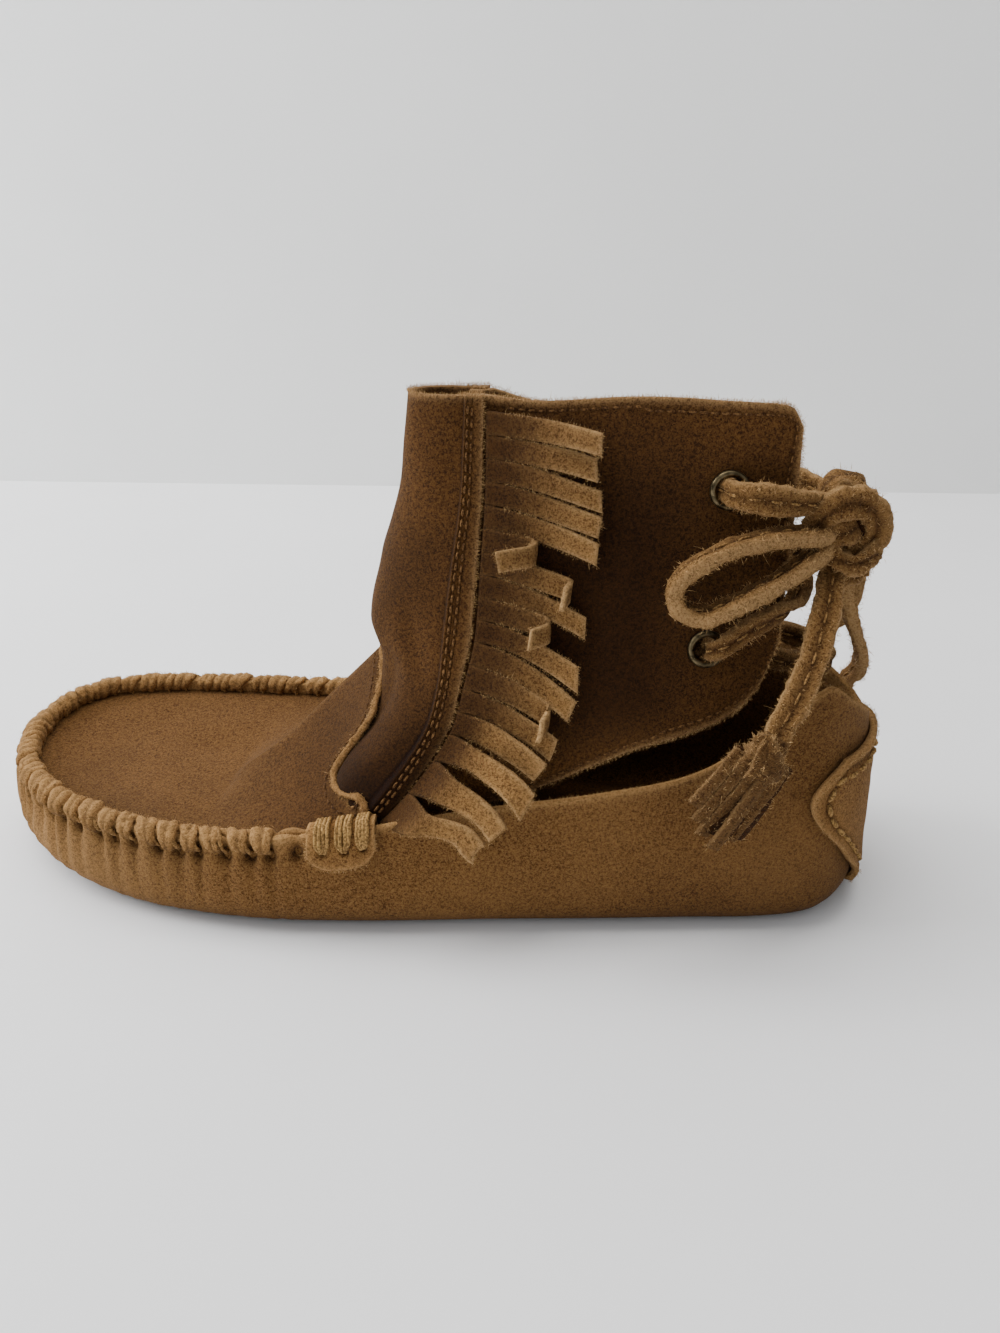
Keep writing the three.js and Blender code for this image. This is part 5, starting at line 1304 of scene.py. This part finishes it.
def stripPlace(side, k, run, z, extra, s):
    sink, stand, hop = s["shapes"][k]
    radius, degrees, tail = s["hooks"].get(k, (1.0, 0, 0))
    turn = math.radians(degrees)
    bend = s["length"] - tail - radius * turn
    angle = np.clip((run - bend) / radius, 0, turn)
    past = np.maximum(run - bend - radius * turn, 0)
    hooked = k in s["hooks"]
    reach = np.minimum(run, bend) + radius * np.sin(angle) + past * math.cos(turn) if hooked else run
    out = radius * (1 - np.cos(angle)) + past * math.sin(turn) if hooked else 0 * run
    share = run / s["length"]
    down = s["length"] * sink * share**1.7
    lift = s["lift"] + s["length"] * (hop * smoothStep(share, 0, 0.36) + stand * share**1.5) + out
    height = z - down
    level = shaftAt(height)
    back = reach / (level["rear"] - level["seam"])
    normal = faceNormal(quarterPoint, side, back, height)
    lean = np.stack([np.sin(angle), 0 * angle, 0 * angle], -1) * (1 if hooked else 0)
    across = unit(normal * np.cos(angle)[..., None] - lean)
    points = quarterPoint(side, back, height) + normal * lift[..., None] + across * extra[..., None]
    return settle(points, side, 1 - smoothStep(run, 0, 24))


for side, name in ((-1, "outer"), (1, "inner")):
    parts, roots, outs = [], [], []
    pitch = (fringe["top"] - fringe["foot"]) * boot["collar"] / fringe["strips"]
    rng = np.random.default_rng(70 + side)
    for k in range(fringe["strips"]):
        run = np.linspace(fringe["start"], fringe["length"], fringe["steps"])[:, None]
        across = np.linspace(0, 1, 9)[None]
        tip = 1 + rng.uniform(-0.035, 0.02) + (across - 0.5) * rng.uniform(-0.05, 0.05)
        run = run * (1 + (tip - 1) * smoothStep(run, 14, 29))
        share = run / fringe["length"]
        slit = fringe["gap"] * smoothStep(run, fringe["band"] - 0.9, fringe["band"] + 0.9)
        narrow = (slit / 2 + 0.16 * smoothStep(share, 0.3, 1) * rng.uniform(0, 1)
                  + (0.75 if k in fringe["slim"] else 0) * smoothStep(share, 0.08, 0.4))
        top = fringe["top"] * boot["collar"] - k * pitch
        z = top - narrow - (pitch - 2 * narrow) * across + 0.3 * np.sin(share * 5 + rng.uniform(0, 6)) * share
        twist = fringe["twists"].get(k, rng.uniform(-0.15, 0.15))
        curve = (across - 0.5) * pitch * twist * smoothStep(share, 0.2, 1)
        sway = (0.35 + 0.35 * np.sin(share * rng.uniform(3, 5) + rng.uniform(0, 6))) * smoothStep(share, 0.2, 0.7)
        extra = curve - min(twist, -twist) * pitch * 0.5 * smoothStep(share, 0.2, 1) + sway
        extra = extra + 0.2 * softNoise(np.stack(np.broadcast_arrays(run, across * 5 + k * 9, 0 * run), -1), 3, 72)
        extra = np.maximum(extra, 0)
        full = run + 0 * across
        over = stripPlace(side, k, full, z, extra + fringe["thick"], fringe)
        under = stripPlace(side, k, full, z, extra, fringe)
        far = edgeDistance(over, ("last", "left", "right"))
        pale = np.stack([np.exp(-far / 0.6), np.exp(-far / 0.6)]) * (0.22 + 0.78 * smoothStep(share, 0.35, 0.85))
        # painted shade at the roots of the strips, fading towards the tips
        dimTo = 1.0 if k < 13 else 0.5
        base = 0.86 * (1 - smoothStep(share, 0.15, dimTo)) + rng.uniform(-0.02, 0.04)
        shade = np.stack([(base + 0 * far) * (1 - 0.12 * np.exp(-far / 0.6)), base * 0.8 + 0.1 + 0 * far])
        faces = shellFaces(*over.shape[:2])
        parts.append((np.stack([over, under]), faces if side < 0 else faces[:, ::-1], pale.ravel(), shade.ravel()))
        edge = np.concatenate([over[8:, 0], over[8:, -1], over[-1]])
        roots.append(edge)
        outs.append(edge - np.concatenate([over[8:, 3], over[8:, 4], over[-4]]))
    points, faces, pale, shade = gather(parts)
    addPiece(f"fringe_{name}_strips", points, faces, cutSuede, [f"fringe_{name}"], "cut_suede", pale, shade)
    fibres(f"fringe_{name}_fibres", np.concatenate(roots), np.concatenate(outs), 6000, 0.8, 0.08, 74)
print("fringes made")

# wavy patch on the outside of the heel, sewn on with thick thread
patch = {"foot": 3.5, "height": 46, "reach": 38, "rowsPerMm": 2.1 / 24, "stitchIn": 3.9,
         "outline": [(0, 0.36), (0.07, 0.36), (0.16, 0.44), (0.30, 0.60), (0.46, 0.76), (0.62, 0.93), (0.78, 1.0),
                     (0.90, 0.92), (1, 0.74)]}


def patchReach(up, s):
    return s["reach"] * readTable(np.array(s["outline"]), ("up", "reach"), "reach", up)


def patchPlace(up, sideways, out, s):
    z = s["foot"] + s["height"] * up
    at = patchReach(up, s) * sideways * s["rowsPerMm"]
    room = boot["gap"] + np.where(z < boot["bottomRadius"], 0.45, 0.12)
    return besideRing(at, wallInset(at, z) - room - out, z)


up, sideways = np.broadcast_arrays(np.linspace(0, 1, 60)[:, None], np.linspace(-1, 1, 90)[None])
base = patchPlace(up, sideways, 0, patch)
far = edgeDistance(base, ("first", "last", "left", "right"))
ripple = 0.35 * softNoise(base, 9, 90) + 0.15 * softNoise(base, 4, 91)
out = boot["suede"] - 0.5 * bump(far, patch["stitchIn"], 0.9) + np.maximum(ripple, -0.2) + 0.5 * np.exp(-far / 1.4)
over = patchPlace(up, sideways, out, patch)
pale = np.exp(-far / 0.8)
# painted shade in the groove of the stitch line
addPiece("heel_patch_hide", np.stack([over, base]), shellFaces(*far.shape), tanSuede, ["heel_patch"], "tan_suede",
         np.stack([pale, pale]), np.stack([0.12 + 0.5 * bump(far, patch["stitchIn"], 0.8), 0.3 + 0 * far]))
line = np.array([(u, -1) for u in np.linspace(0.05, 0.90, 40)] + [(0.90, c) for c in np.linspace(-1, 1, 40)[1:-1]]
                + [(u, 1) for u in np.linspace(0.90, 0.05, 40)])
reach = patchReach(line[:, 0], patch)
line[:, 1] *= (reach - patch["stitchIn"]) / reach
middle, outer = (patchPlace(line[:, 0], line[:, 1], boot["suede"] + lift, patch) for lift in (-0.2, 0.8))
path = smoothPath(middle[::2], 0.4)
stitches = stitchRow(path, spread(outer - middle, len(path)), 4.6, 3.6, 0.66, 0.3, 8)
addPiece("heel_patch_stitches", *gather(stitches)[:2], yarn)
borderFibres("heel_patch_fibres", over, ("first", "right", "last", "left"), 3, 2200, 0.95, 92)
print("heel patch made")

# table, wall and light
stage = {"wallAt": 0.36, "halfWidth": 2.5, "front": -1.5, "top": 2.5,
         "floorColour": (0.89, 0.89, 0.90), "wallColour": (0.96, 0.965, 0.955)}


def makeStage(name, corners, colour, roughness):
    material, tree, shader = newMaterial(name)
    cloud = stretch(tree, noise(tree, 9, Detail=3), 0.3, 0.7)
    setShader(tree, shader, BaseColor=blendColour(tree, cloud, (*[c * 0.965 for c in colour], 1), (*colour, 1)),
              Roughness=roughness, SpecularIORLevel=0.3)
    mesh = bpy.data.meshes.new(name)
    mesh.from_pydata(corners, [], [(0, 1, 2, 3)])
    mesh.materials.append(material)
    addObject(name, mesh)


def makeLight(name, place, target, size, power, colour):
    data = bpy.data.lights.new(name, "AREA")
    data.shape = "RECTANGLE"
    data.size, data.size_y = size
    data.energy = power
    data.color = colour
    lamp = addObject(name, data)
    lamp.location = place
    lamp.rotation_euler = (Vector(target) - Vector(place)).to_track_quat("-Z", "Y").to_euler()


wallAt = stage["wallAt"]
half, front, top = stage["halfWidth"], stage["front"], stage["top"]
makeStage("tableTop", [(-half, front, 0), (half, front, 0), (half, wallAt, 0), (-half, wallAt, 0)],
          stage["floorColour"], 0.55)
makeStage("backWall", [(-half, wallAt, -0.5), (half, wallAt, -0.5), (half, wallAt, top), (-half, wallAt, top)],
          stage["wallColour"], 0.8)
warm, cool = (1.0, 0.98, 0.95), (0.97, 0.985, 1.0)
makeLight("overhead", (-0.12, 0.2, 1.3), (0.0, -0.02, 0.03), (1.5, 0.7), 20, warm)
makeLight("windowFill", (-0.9, -0.9, 0.9), (0.0, 0.0, 0.05), (0.9, 0.9), 3.2, cool)
makeLight("sideWindow", (-1.1, 0.18, 0.6), (-0.3, 0.2, 0.0), (0.8, 0.6), 20, cool)
world = bpy.data.worlds.new("roomLight")
world.use_nodes = True
background = world.node_tree.nodes["Background"]
background.inputs["Color"].default_value = (0.88, 0.89, 0.90, 1)
background.inputs["Strength"].default_value = 0.5
bpy.context.scene.world = world
print("stage and lights set")
